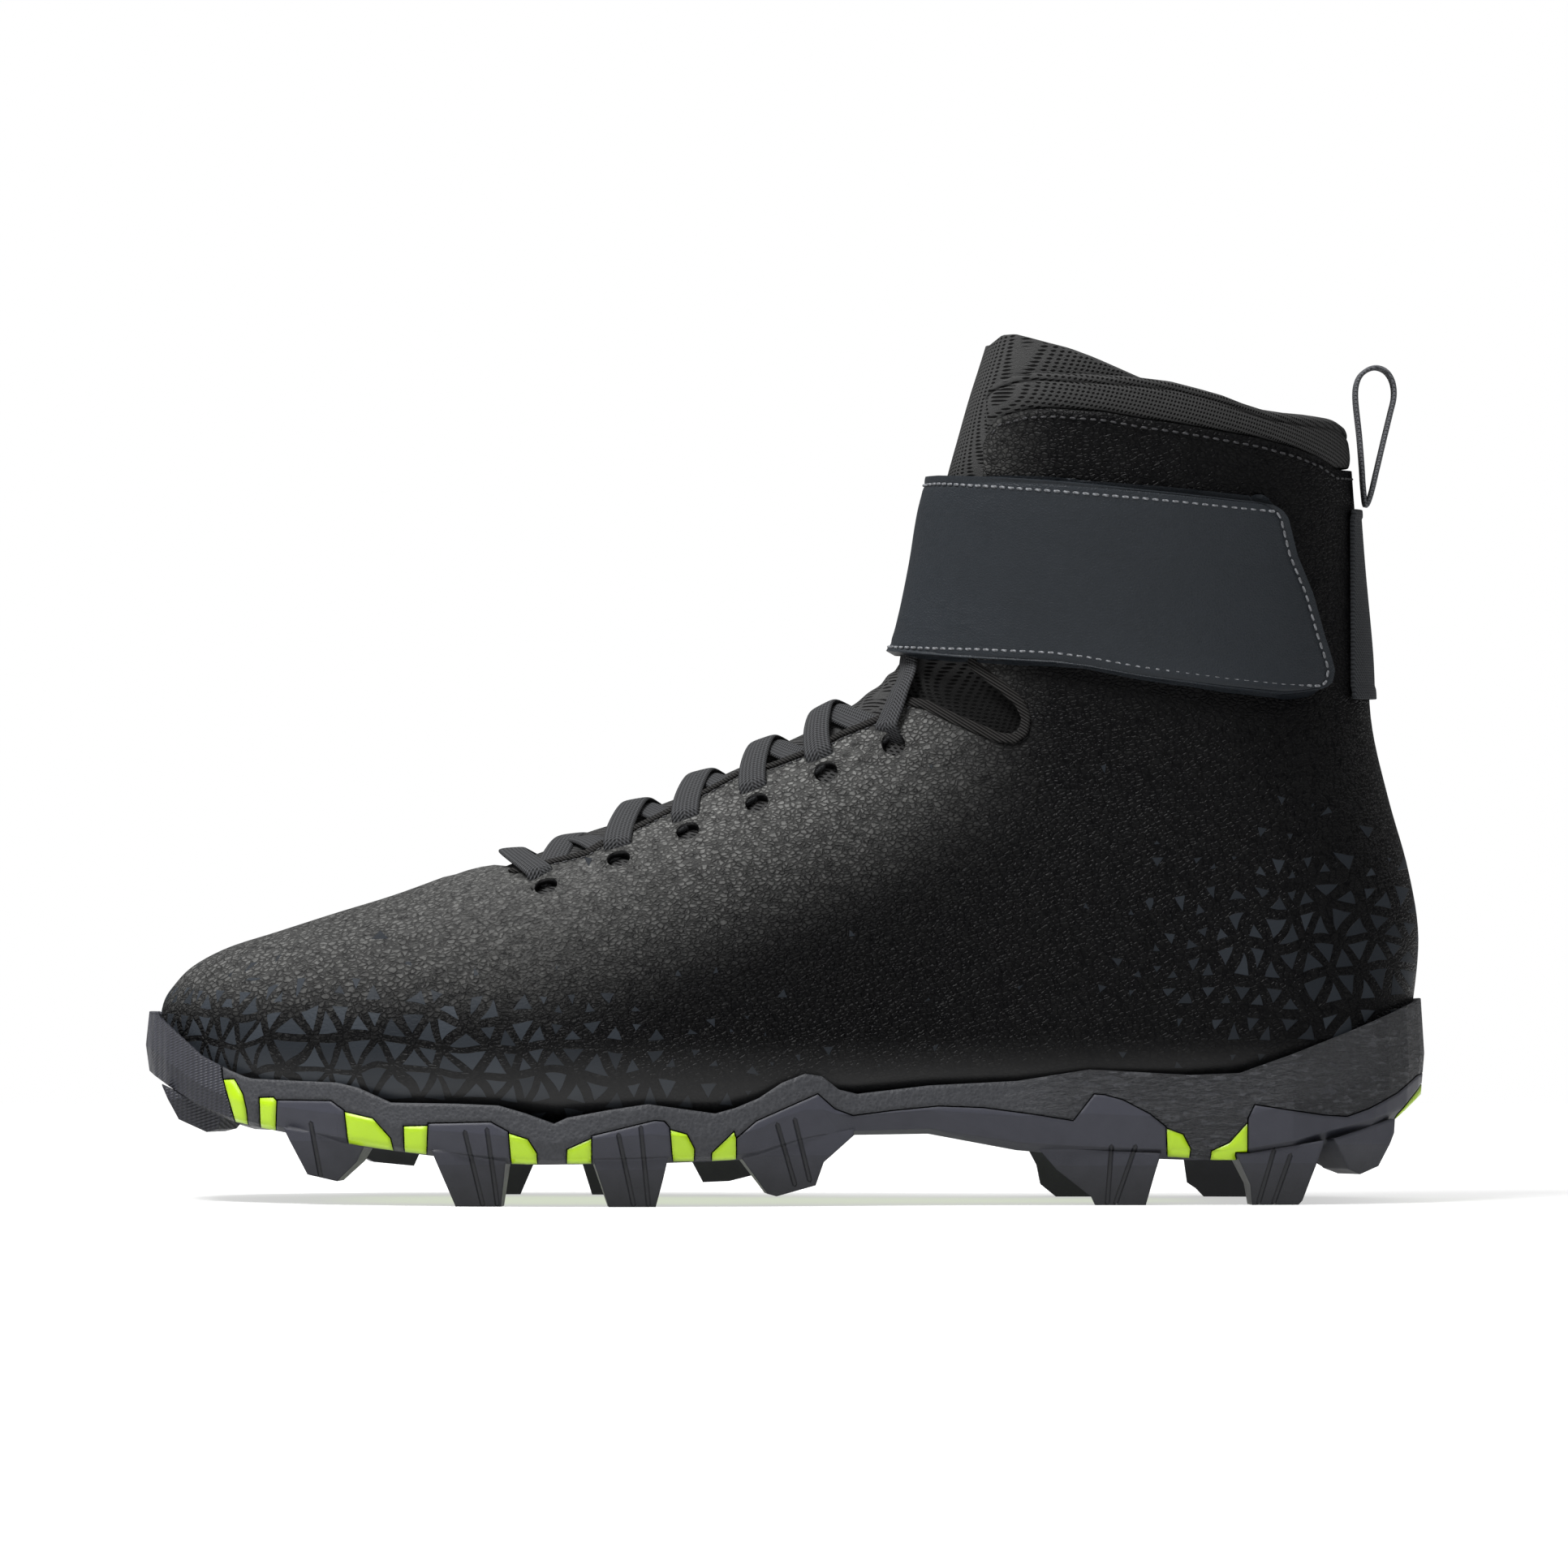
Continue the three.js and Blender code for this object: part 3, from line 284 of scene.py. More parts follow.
def woven(name, first, second, per_metre, depth):
    """Plain weave: two sets of ribs at right angles, each raised where it passes over the other."""
    finish = Finish(name, Specular_IOR_Level=0.25)
    turned = finish.node("Mapping", {}, {0: finish.place(), "Rotation": (0, 0.8, 0)})
    along = (turned.axis(0) * per_metre * math.tau).math("SINE")
    across = (turned.axis(2) * per_metre * math.tau).math("SINE")
    weave = along * across * 0.5 + 0.5
    return finish.drive(
        Base_Color=finish.colour(weave, first, second),
        Roughness=0.9 - weave * 0.15,
        Normal=finish.relief(weave, depth),
    )


coat(nodes["insole"], woven("sock liner cloth", paint(16, 16, 18), paint(34, 34, 37), 700, 0.0002))

# Upper: one shell of black synthetic leather pulled over the last and cemented into the sole.
# It has a pebbled grain, a printed field of satin triangles and a throat edge that is bound with a
# narrow ribbed tape and stitched.
LENGTH = 298
BODY_HEIGHT = 191.7
STUD_LENGTH = 9.6
BALL_WIDTH = 101
WAIST_WIDTH = 78
HEEL_WIDTH = 70
ANKLE_WIDTH = 66
COLLAR_WIDTH = 74
TOE_REACH = 40
WALL = 2.2
FIT = 0.3
LASTING_TRIM = 1.2

# The last's section planes. Columns: front along, front up, back along, back up, half width, offset
# of the middle and of the ridge, widest place, roundness of the front and of the back, share under.
SECTIONS = np.array([
    [1.0, 14.8, 1.0, 14.8, 0, 0.09, 0.09, 0.55, 2, 2.4, 1],
    [1.4, 18.8, 1.4, 11.3, 0.08 * BALL_WIDTH, 0.09, 0.09, 0.55, 2, 2.4, 1],
    [2.3, 21.1, 2.4, 9.8, 0.15 * BALL_WIDTH, 0.09, 0.09, 0.58, 2, 2.8, 1],
    [3.8, 23.4, 4.0, 8.8, 0.215 * BALL_WIDTH, 0.085, 0.09, 0.62, 2, 3.4, 1],
    [6.5, 25.6, 6.5, 8.0, 0.287 * BALL_WIDTH, 0.075, 0.09, 0.66, 2, 4, 1],
    [10.3, 27.5, 10.3, 7.1, 0.361 * BALL_WIDTH, 0.06, 0.09, 0.7, 2, 4.5, 1],
    [14.7, 29.7, 14.7, 6.0, 0.421 * BALL_WIDTH, 0.045, 0.09, 0.72, 2, 5, 1],
    [19.5, 32.0, 19.5, 5.0, 0.46 * BALL_WIDTH, 0.03, 0.09, 0.72, 1.95, 5, 1],
    [24.3, 34.7, 24.9, 4.6, 0.485 * BALL_WIDTH, 0.01, 0.085, 0.72, 1.9, 5, 1],
    [29.3, 37.3, 30.9, 3.9, 0.5 * BALL_WIDTH, -0.005, 0.08, 0.73, 1.85, 5, 1],
    [35.0, 40.5, 38.2, 3.9, 0.495 * BALL_WIDTH, -0.02, 0.07, 0.74, 1.85, 5.5, 1],
    [40.7, 43.9, 46.1, 4.5, 0.46 * BALL_WIDTH, -0.03, 0.06, 0.75, 1.85, 6, 1],
    [45.8, 47.7, 53.4, 6.5, 0.545 * WAIST_WIDTH, -0.035, 0.05, 0.75, 1.85, 7, 1],
    [50.3, 51.4, 61.7, 7.6, 0.5 * WAIST_WIDTH, -0.035, 0.04, 0.74, 1.9, 8, 1],
    [54.1, 54.8, 71.2, 7.8, 0.474 * WAIST_WIDTH, -0.03, 0.03, 0.73, 1.95, 8, 1],
    [56.5, 57.3, 80.7, 8.0, 0.514 * HEEL_WIDTH, -0.025, 0.02, 0.72, 2, 7, 1],
    [57.9, 59.3, 89.6, 8.4, 0.507 * HEEL_WIDTH, -0.02, 0.015, 0.7, 2, 5, 1],
    [58.6, 60.8, 96.0, 9.3, 0.5 * HEEL_WIDTH, -0.015, 0.01, 0.68, 2, 3.4, 0.8],
    [59.1, 62.5, 98.4, 12.5, 0.493 * HEEL_WIDTH, -0.01, 0.005, 0.66, 2, 2.7, 0.4],
    [59.6, 64.8, 99.1, 19.4, 0.486 * HEEL_WIDTH, 0, 0, 0.64, 2, 2.5, 0],
    [60.1, 68.2, 99.5, 27.3, 0.479 * HEEL_WIDTH, 0, 0, 0.61, 2, 2.4, 0],
    [60.6, 72.2, 98.7, 35.2, 0.5 * ANKLE_WIDTH, 0, 0, 0.57, 2, 2.3, 0],
    [61.0, 76.1, 97.2, 43.6, 0.492 * ANKLE_WIDTH, 0, 0, 0.53, 2.05, 2.2, 0],
    [61.5, 80.1, 95.9, 52.5, 0.492 * ANKLE_WIDTH, 0, 0, 0.5, 2.1, 2.1, 0],
    [62.0, 83.5, 95.5, 61.8, 0.5 * ANKLE_WIDTH, 0, 0, 0.48, 2.1, 2.1, 0],
    [62.8, 88.0, 94.9, 71.7, 0.46 * COLLAR_WIDTH, 0, 0, 0.47, 2.15, 2.1, 0],
    [63.6, 92.4, 94.5, 79.6, 0.473 * COLLAR_WIDTH, 0, 0, 0.47, 2.2, 2.15, 0],
    [64.5, 96.8, 94.2, 85.5, 0.486 * COLLAR_WIDTH, 0, 0, 0.47, 2.2, 2.2, 0],
    [65.5, 101.8, 93.8, 91.4, 0.5 * COLLAR_WIDTH, 0, 0, 0.47, 2.2, 2.2, 0],
])
LAST_ROW = len(SECTIONS) - 1
THROAT = [
    [24.3, 34.5], [25.8, 35.3], [27.6, 35.7], [29.3, 35.1], [32.0, 36.3], [34.6, 37.3],
    [36.0, 38.6], [38.5, 40.4], [41.7, 42.9], [44.1, 44.9], [46.7, 47.1], [49.0, 47.9],
    [52.2, 49.9], [54.3, 51.7], [57.2, 53.6], [59.6, 55.7], [60.8, 55.4], [62.7, 53.9],
    [64.5, 52.7], [66.3, 51.5], [67.5, 51.4], [68.2, 52.2], [68.4, 54.0], [67.8, 55.9],
    [66.3, 57.9], [64.3, 60.2], [64.8, 67.8], [65.2, 77.6], [65.5, 84.5], [65.2, 91.4],
]
QUARTER_TOP = [
    [65.2, 85.5], [65.9, 88.2], [66.7, 89.7], [68.8, 90.5], [70.7, 90.6], [74.7, 90.1],
    [77.5, 89.3], [80.7, 88.6], [86.7, 87.0], [89.7, 85.8], [91.6, 84.7], [92.9, 83.4], [99, 83.4],
]
EYELETS = [[9.35, 35], [10.29, 32.5], [11.21, 30.7], [12.22, 31.6], [13.32, 32.6], [14.64, 34]]
EYELET_DIAMETER = 5.2


def X(along):
    """Place from toe (-) to heel (+), in mm, of a share of the length."""
    return (np.asarray(along) / 100 - 0.5) * LENGTH


def Z(up):
    """Height in mm of a share of the body height above the ball's underside."""
    return STUD_LENGTH + np.asarray(up) / 100 * BODY_HEIGHT


def side(points):
    """Side-view shares as places in mm."""
    shares = np.array(points, float)
    return np.stack([X(shares[:, 0]), Z(shares[:, 1])], -1)


def smooth_rows(table, at):
    """Catmull-Rom curve through the rows of a table, at row numbers that may be fractions."""
    low = np.clip(np.floor(at).astype(int), 0, len(table) - 2)
    t = (at - low)[..., None]
    a, b, c, d = (table[np.clip(low + step, 0, len(table) - 1)] for step in (-1, 0, 1, 2))
    return b + 0.5 * t * (c - a + t * (2 * a - 5 * b + 4 * c - d + t * (3 * (b - c) + d - a)))


def last(row, angle, growth=0.0):
    """Point of the last in mm: on the section plane of that row, at that angle round it from the
    ridge (below 0 on the lateral side), moved outwards by the growth. Each section is a front and a
    back half of a superellipse that meet at its widest place."""
    row, angle, growth = np.broadcast_arrays(*(np.asarray(v, float) for v in (row, angle, growth)))
    values = np.moveaxis(smooth_rows(SECTIONS, row), -1, 0)
    front_x, front_z, back_x, back_z = X(values[0]), Z(values[1]), X(values[2]), Z(values[3])
    half, middle, ridge = values[4], values[5] * BALL_WIDTH, values[6] * BALL_WIDTH
    widest, front_round, back_round = values[7], values[8], values[9]
    lead = np.maximum(0, 1 - (front_x - X(SECTIONS[0, 0])) / TOE_REACH)
    spread = np.sqrt(1 - lead**2)
    length = np.maximum(np.hypot(back_x - front_x, back_z - front_z), 1e-6)
    across_x, across_z = (back_x - front_x) / length, (back_z - front_z) / length
    even = length + 2 * growth * spread
    waist = widest * even - growth * spread
    end = length + growth * spread
    c, s = np.cos(np.radians(angle)), np.sin(np.radians(angle))
    power = np.where(c > 0, front_round, back_round)
    reach = (np.abs(c) ** power + np.abs(s) ** power) ** (-1 / power)
    distance = np.where(c > 0, waist - c * reach * widest * even, waist - c * reach * (end - waist))
    lean = np.maximum(0, c * reach) ** 2
    return np.stack([
        front_x + across_x * distance - growth * lead,
        middle + (ridge - middle) * lean + s * reach * (half + growth * spread),
        front_z + across_z * distance,
    ], -1)


def first_past(values, inside):
    """Along the last axis: the value, between samples, where the signed measure first drops below 0."""
    crossed = inside < 0
    at = np.maximum(np.argmax(crossed, -1), 1)
    take = lambda grid, index: np.take_along_axis(grid, index[..., None], -1)[..., 0]
    before, after = take(inside, at - 1), take(inside, at)
    share = np.clip(before / np.where(before == after, 1, before - after), 0, 1)
    found = take(values, at - 1) + share * (take(values, at) - take(values, at - 1))
    return np.where(crossed[..., 0], values[..., 0], np.where(crossed.any(-1), found, values[..., -1]))


def in_region(points, outline):
    """Distance in mm of side-view points to an outline, below 0 outside it."""
    x, z = points[..., 0][..., None], points[..., 2][..., None]
    a, b = outline, np.roll(outline, -1, 0)
    edge = b - a
    share = np.clip(((x - a[:, 0]) * edge[:, 0] + (z - a[:, 1]) * edge[:, 1]) / (edge**2).sum(1), 0, 1)
    gap = np.hypot(x - a[:, 0] - share * edge[:, 0], z - a[:, 1] - share * edge[:, 1]).min(-1)
    rising = (a[:, 1] > z) != (b[:, 1] > z)
    level = np.where(edge[:, 1] == 0, 1, edge[:, 1])
    crossings = (rising & (x < a[:, 0] + (z - a[:, 1]) / level * edge[:, 0])).sum(-1)
    return np.where(crossings % 2 == 1, gap, -gap)


def grid_piece(name, points, uv=None, wrap=False):
    """A mesh from a grid of points in mm (rows, columns), its doubled points merged."""
    rows, columns = points.shape[:2]
    index = np.arange(rows * columns).reshape(rows, columns)
    if wrap:
        index = np.concatenate([index, index[:, :1]], 1)
    quads = np.stack([index[:-1, :-1], index[:-1, 1:], index[1:, 1:], index[1:, :-1]], -1).reshape(-1, 4)
    return mesh_piece(name, points.reshape(-1, 3), quads, uv)


def outwards(points, quads):
    """The quads, all turned round if together they face the shoe's middle plane."""
    corners = points[quads]
    normals = np.cross(corners[:, 2] - corners[:, 0], corners[:, 3] - corners[:, 1])
    facing = (normals[:, 1] * (corners.mean(1) - points.mean(0))[:, 1]).sum()
    return quads if facing > 0 else quads[:, ::-1]


def mesh_piece(name, points, faces, uv=None):
    """A smooth-shaded piece from points in mm and quads, riding on the shoe's one body."""
    data = bpy.data.meshes.new(name)
    data.from_pydata((points / 1000).tolist(), [], outwards(points, faces).tolist())
    if uv is not None:
        layer = data.uv_layers.new(name="print")
        corners = np.zeros(len(data.loops), int)
        data.loops.foreach_get("vertex_index", corners)
        layer.data.foreach_set("uv", uv.reshape(-1, 2)[corners].astype(np.float32).ravel())
    work = bmesh.new()
    work.from_mesh(data)
    bmesh.ops.remove_doubles(work, verts=work.verts, dist=2e-6)
    bmesh.ops.dissolve_degenerate(work, edges=work.edges, dist=1e-6)
    work.to_mesh(data)
    work.free()
    data.shade_smooth()
    piece = bpy.data.objects.new(name, data)
    bpy.context.scene.collection.objects.link(piece)
    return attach(piece, "root")


def thicken(piece, thickness, rounding, segments):
    """Gives a sheet its thickness in mm, inwards, and rounds its edges by a radius in mm."""
    modify(piece, "SOLIDIFY", thickness=thickness / 1000, offset=-1.0)
    modify(piece, "BEVEL", width=rounding / 1000, segments=segments, limit_method="ANGLE", angle_limit=1.0)
    piece.data.shade_smooth()


def modify(piece, kind, **settings):
    """Adds a modifier and applies it to the piece's mesh."""
    modifier = piece.modifiers.new(kind.lower(), kind)
    for setting, value in settings.items():
        setattr(modifier, setting, value)
    graph = bpy.context.evaluated_depsgraph_get()
    made = bpy.data.meshes.new_from_object(piece.evaluated_get(graph), depsgraph=graph)
    piece.modifiers.clear()
    old = piece.data
    piece.data = made
    bpy.data.meshes.remove(old)


ANGLES = np.linspace(0, 180, 541)
BLEND_ROW = 19.6
ROWS = np.concatenate([
    np.linspace(0, 19, 191)[:-1], np.linspace(19, BLEND_ROW, 61)[:-1], np.linspace(BLEND_ROW, LAST_ROW, 85),
])
TABLE_ROWS, TABLE_ANGLES = np.meshgrid(ROWS, ANGLES, indexing="ij")
TABLE_POINTS = last(TABLE_ROWS, TABLE_ANGLES)


def leaving_angle(region):
    """For each table row, the angle from the ridge at which its section leaves a side-view region."""
    return first_past(TABLE_ANGLES, in_region(TABLE_POINTS, region))


def line_height(line, x):
    """Height of a side-view line at a place along it."""
    return np.interp(x, line[:, 0], line[:, 1])


def rows_at(line, places, start, end, low=15.0):
    """For shares of the way from the start angle to the end angle, the row at which the last's
    surface crosses a side-view line that bounds it from above."""
    rows = np.broadcast_to(np.linspace(low, LAST_ROW, 600), (len(places), 600))
    points = last(rows, between(rows, places[:, None], start, end))
    return first_past(rows, line_height(line, points[..., 0]) - points[..., 2])


def between(rows, share, start, end):
    """Angle at a share of the way from the start to the end angle of each row."""
    first, final = np.interp(rows, ROWS, start), np.interp(rows, ROWS, end)
    return first + (final - first) * share


def fitted(rows, bend, tops):
    """The rows, with those above the bend spaced anew so that the last of them are the tops."""
    return np.where(rows > bend, bend + (rows - bend) * (tops - bend) / (LAST_ROW - bend), rows)


throat_region = side([*THROAT, [65.2, 93], [65.2, 200], [0, 200], [0, 60], [24.3, 37]])
footbed_line = np.stack([X(SECTIONS[2:17, 2]), Z(SECTIONS[2:17, 3])], -1)
throat_angle = leaving_angle(throat_region)
sole_gap = TABLE_POINTS[..., 2] - line_height(footbed_line, TABLE_POINTS[..., 0]) - LASTING_TRIM
under_angle = first_past(TABLE_ANGLES, sole_gap)

# Half of the upper: rows from the nose up to the quarter's top edge, angles from the throat edge
# round to the trimmed edge under the foot or to the middle of the heel.
shares = np.linspace(0, 1, 84) ** 0.9
quarter_top = side(QUARTER_TOP)
top_rows = rows_at(quarter_top, shares, throat_angle, under_angle, 21)
rows = fitted(ROWS[::2, None] * np.ones_like(shares), BLEND_ROW, top_rows)
angles = between(rows, shares, throat_angle, under_angle)


def print_place(points):
    """Developed place on the upper in mm: distance along the sole's edge from the nose, and height."""
    x, y, z = np.moveaxis(points, -1, 0)
    centre_x, centre_y = X(15.0), 0.07 * BALL_WIDTH
    turn = np.arctan2(np.abs(y - centre_y), centre_x - x)
    round_toe = turn * 42
    straight = np.radians(90) * 42 + (x - centre_x)
    return np.stack([np.where(x < centre_x, round_toe, straight), z], -1)


halves = []
for hand in (-1, 1):
    points = last(rows, hand * angles)
    if hand < 0:
        points, uv = points[:, ::-1], print_place(points)[:, ::-1]
    else:
        uv = print_place(points)
    halves.append((points, uv))
upper = grid_piece("upper_leather", np.concatenate([halves[0][0], halves[1][0]], 1),
                   np.concatenate([halves[0][1], halves[1][1]], 1))
modify(upper, "SOLIDIFY", thickness=WALL / 1000, offset=-1.0, use_even_offset=False)


def eyelet_cutter():
    """Short round bars through the wall at each eyelet, for cutting its hole."""
    turn = np.linspace(0, math.tau, 21)[:-1]
    points, faces = [], []
    for row, angle in EYELETS:
        for hand in (-1, 1):
            centre = last(row, hand * angle)
            out = last(row, hand * angle, 1.0) - centre
            along = last(row + 0.1, hand * angle) - centre
            along -= out * (along @ out) / (out @ out)
            along /= np.linalg.norm(along)
            out /= np.linalg.norm(out)
            side_way = np.cross(out, along)
            ring = np.cos(turn)[:, None] * along * 1.05 + np.sin(turn)[:, None] * side_way * 1.3
            ring *= EYELET_DIAMETER / 2
            start = sum(len(p) for p in points)
            points += [centre + ring - out * 5, centre + ring + out * 5]
            k = np.arange(20)
            wall = np.stack([k, (k + 1) % 20, 20 + (k + 1) % 20, 20 + k], 1)
            faces += (start + wall).tolist()
            faces += [[start + a for a in k[::-1]], [start + 20 + a for a in k]]
    data = bpy.data.meshes.new("eyelet_cutter")
    data.from_pydata((np.concatenate(points) / 1000).tolist(), [], [list(map(int, f)) for f in faces])
    cutter = bpy.data.objects.new("eyelet_cutter", data)
    bpy.context.scene.collection.objects.link(cutter)
    return cutter


cutter = eyelet_cutter()
modify(upper, "BOOLEAN", object=cutter, operation="DIFFERENCE", solver="EXACT")
bpy.data.objects.remove(cutter)
upper.data.shade_smooth()


TRIANGLE_SIDE = 8.4
PEBBLES_PER_METRE = 860
TOE_PEBBLES_PER_METRE = 720
GRAIN_DEPTH = 0.0006


def leather():
    """Black pebbled leather with printed satin triangles. The triangles are cells of a sheared
    lattice on the developed surface, each shrunk towards its middle by a gap that widens, and each
    kept by a chance that falls, away from the toe's low edge and from the heel. Between them the
    leather's colour carries a painted highlight on its pebbles and creases, high on the vamp and
    eyestays, fading out lower down, at the heel and in the toe's field of triangles."""
    finish = Finish("black printed leather", Specular_IOR_Level=0.05, Coat_Roughness=0.4)
    place = finish.place()
    chart = finish.node("UVMap", {"uv_map": "print"})
    wander = finish.node("TexNoise", {}, {"Vector": chart, "Scale": 0.045, "Detail": 1.5}, "Color")
    moved = finish.vector("MULTIPLY_ADD", wander, (14.0, 12.0, 0), chart)
    u, v = moved.axis(0), moved.axis(1)
    b = v / (TRIANGLE_SIDE * 0.866)
    a = u / TRIANGLE_SIDE - b * 0.5
    cell_a, cell_b = a.math("FLOOR"), b.math("FLOOR")
    part_a, part_b = a - cell_a, b - cell_b
    upper_half = (part_a + part_b) > 1.0
    nearest = part_a.math("MINIMUM", part_b).math("MINIMUM", 1 - part_a - part_b)
    farthest = (1 - part_a).math("MINIMUM", 1 - part_b).math("MINIMUM", part_a + part_b - 1)
    depth = nearest * (1 - upper_half) + farthest * upper_half
    cell = finish.node("CombineXYZ", {}, {0: cell_a, 1: cell_b, 2: upper_half})
    chance = finish.node("TexWhiteNoise", {"noise_dimensions": "3D"}, {"Vector": cell})
    along, height = chart.axis(0), chart.axis(1)
    front = 1 - along.above(60, 215)
    toe_field = (1 - height.above(30, 62)) * front
    flat = finish.vector("MULTIPLY", chart, (0.78, 1.5, 0.0))
    heel_way = finish.vector("DISTANCE", flat, (235.0, 86.0, 0.0), output=1)
    heel_field = 1 - heel_way.above(-6, 66)
    field = toe_field.math("MAXIMUM", heel_field)
    uneven = (chance * 17.3).math("FRACT")
    gap = 0.075 + (1 - field) * (0.13 + uneven * 0.09) + uneven * 0.025 + (1 - front) * 0.035
    shown = depth.math("SUBTRACT", gap).above(0.0, 0.012)
    kept = (field * 2.2 + 0.015) > chance
    film = shown * kept
    toe = 1 - along.above(70, 160)
    turned = finish.node("Mapping", {}, {0: place, "Rotation": (0, 0.5, 0), "Scale": (0.8, 0.8, 1.25)})
    bend = finish.node("TexNoise", {}, {"Vector": place, "Scale": 700.0, "Detail": 2.0}, "Color")
    drawn = finish.vector("MULTIPLY_ADD", bend, (0.001, 0.001, 0.001), turned)
    fine = finish.cells(drawn, PEBBLES_PER_METRE).above(0.02, 0.24)
    coarse = finish.cells(drawn, TOE_PEBBLES_PER_METRE).above(0.02, 0.24)
    pebbles = fine * (1 - toe) + coarse * toe
    creases = finish.noise(place, 420, 6, 0.62)
    grain = pebbles * 0.6 + creases * 0.8
    smooth_low = 1 - height.above(27, 40)
    grain_depth = (1 - film * 0.92) * (1 - smooth_low * 0.75) * (1 - along.above(180, 240) * 0.62)
    rise = height - along * 0.42
    # Painted highlight: a broad sheen high on the vamp and eyestays near the throat, none at the heel, less
    # at the toe and almost none in the toe's field of triangles.
    lit = rise.above(-16, 38) * (1 - along.above(185, 235)) * (1 - toe * 0.4)
    lit = lit * (1 - toe_field.above(0.1, 0.8) * 0.95)
    # Painted highlight on the pebble tops and creases, scaled by that sheen.
    tops = (pebbles * 0.55 + 0.3) * (creases * 1.6 - 0.3) * (0.16 + lit * 5.5)
    # The leather's colour between the triangles: near black, lightened to grey by the painted highlight.
    ground = finish.colour(tops.math("MINIMUM", 5.0) * 0.2, paint(2, 2, 3), paint(130, 130, 128))
    slate = finish.colour(chance - (1 - front) * 0.45, paint(30, 33, 37), paint(46, 50, 55))
    return finish.drive(
        Base_Color=finish.colour(film, ground, slate),
        Roughness=0.3 + creases * 0.16 + film * 0.12,
        Coat_Weight=smooth_low * 0.5,
        Normal=finish.relief(grain * grain_depth + film * 0.9, GRAIN_DEPTH),
    )


coat(upper, leather())
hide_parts("upper")


def flat_strand(name, rows, angles, growth, width, thickness):
    """A flat strand: a rounded section carried along a path on the last, its width across the path."""
    centres = last(rows, angles, growth)
    out = last(rows, angles, growth + 1.0) - centres
    along = np.gradient(centres, axis=0)
    along /= np.linalg.norm(along, axis=1)[:, None]
    side_way = np.cross(along, out)
    side_way /= np.linalg.norm(side_way, axis=1)[:, None]
    up = np.cross(side_way, along)
    turn = np.linspace(0, math.tau, 25)[:-1]
    flat = np.sign(np.cos(turn)) * np.abs(np.cos(turn)) ** 0.55 * width / 2
    thick = np.sign(np.sin(turn)) * np.abs(np.sin(turn)) ** 0.8 * thickness / 2
    points = centres[:, None] + side_way[:, None] * flat[:, None] + up[:, None] * thick[:, None]
    run = np.concatenate([[0], np.cumsum(np.linalg.norm(np.diff(centres, axis=0), axis=1))])
    uv = np.stack(np.broadcast_arrays(run[:, None], flat[None]), -1)
    points = np.concatenate([centres[:1, None].repeat(24, 1), points, centres[-1:, None].repeat(24, 1)])
    uv = np.concatenate([uv[:1], uv, uv[-1:]])
    return grid_piece(name, points, uv, wrap=True)


def sewn(name, path, normals, material, pitch, length, thickness):
    """A row of stitches along a path in mm: each an ellipsoid of six sides, half sunk in the surface."""
    steps = np.linalg.norm(np.diff(path, axis=0), axis=1)
    run = np.concatenate([[0], np.cumsum(steps)])
    places = np.arange(pitch / 2, run[-1], pitch)
    along = lambda field, at: np.stack([np.interp(at, run, field[:, k]) for k in range(3)], -1)
    centres = along(path, places)
    tangents = along(path, places + 0.5) - along(path, places - 0.5)
    tangents /= np.linalg.norm(tangents, axis=1)[:, None] + 1e-9
    outward = along(normals, places)
    outward -= tangents * (outward * tangents).sum(1)[:, None]
    outward /= np.linalg.norm(outward, axis=1)[:, None] + 1e-9
    across = np.cross(tangents, outward)
    lengthwise = np.linspace(-1, 1, 7)
    radius = np.sqrt(np.clip(1 - lengthwise**4, 0, 1))
    turn = np.linspace(0, math.tau, 7)[:-1]
    local = np.stack(np.broadcast_arrays(
        lengthwise[:, None] * length / 2,
        radius[:, None] * np.cos(turn) * thickness / 2,
        radius[:, None] * np.sin(turn) * thickness / 2 + thickness * 0.12,
    ), -1).reshape(-1, 3)
    frames = np.stack([tangents, across, outward], 1)
    points = centres[:, None] + np.einsum("ij,kjl->kil", local, frames)
    rings, around = 7, 6
    index = np.arange(rings * around).reshape(rings, around)
    nxt = np.roll(index, -1, 1)
    quads = np.stack([index[:-1], nxt[:-1], nxt[1:], index[1:]], -1).reshape(-1, 4)
    faces = (quads[None] + np.arange(len(places))[:, None, None] * rings * around).reshape(-1, 4)
    piece = mesh_piece(name, points.reshape(-1, 3), faces)
    coat(piece, material)
    return piece


def on_last(rows, angles, growth):
    """Points of a path on the last and the directions out of it there."""
    points = last(rows, angles, growth)
    return points, last(rows, angles, growth + 1.0) - points


def thread(name, colour):
    """Twisted thread: fine slanted ribs between a darker shade and the given colour."""
    finish = Finish(name, Specular_IOR_Level=0.4, Roughness=0.6)
    twist = (finish.place().axis(0) * 5200 + finish.place().axis(2) * 4200).math("SINE") * 0.5 + 0.5
    darker = tuple(0.45 * channel for channel in colour[:3]) + (1.0,)
    return finish.drive(Base_Color=finish.colour(twist, darker, colour), Normal=finish.relief(twist, 0.0001))


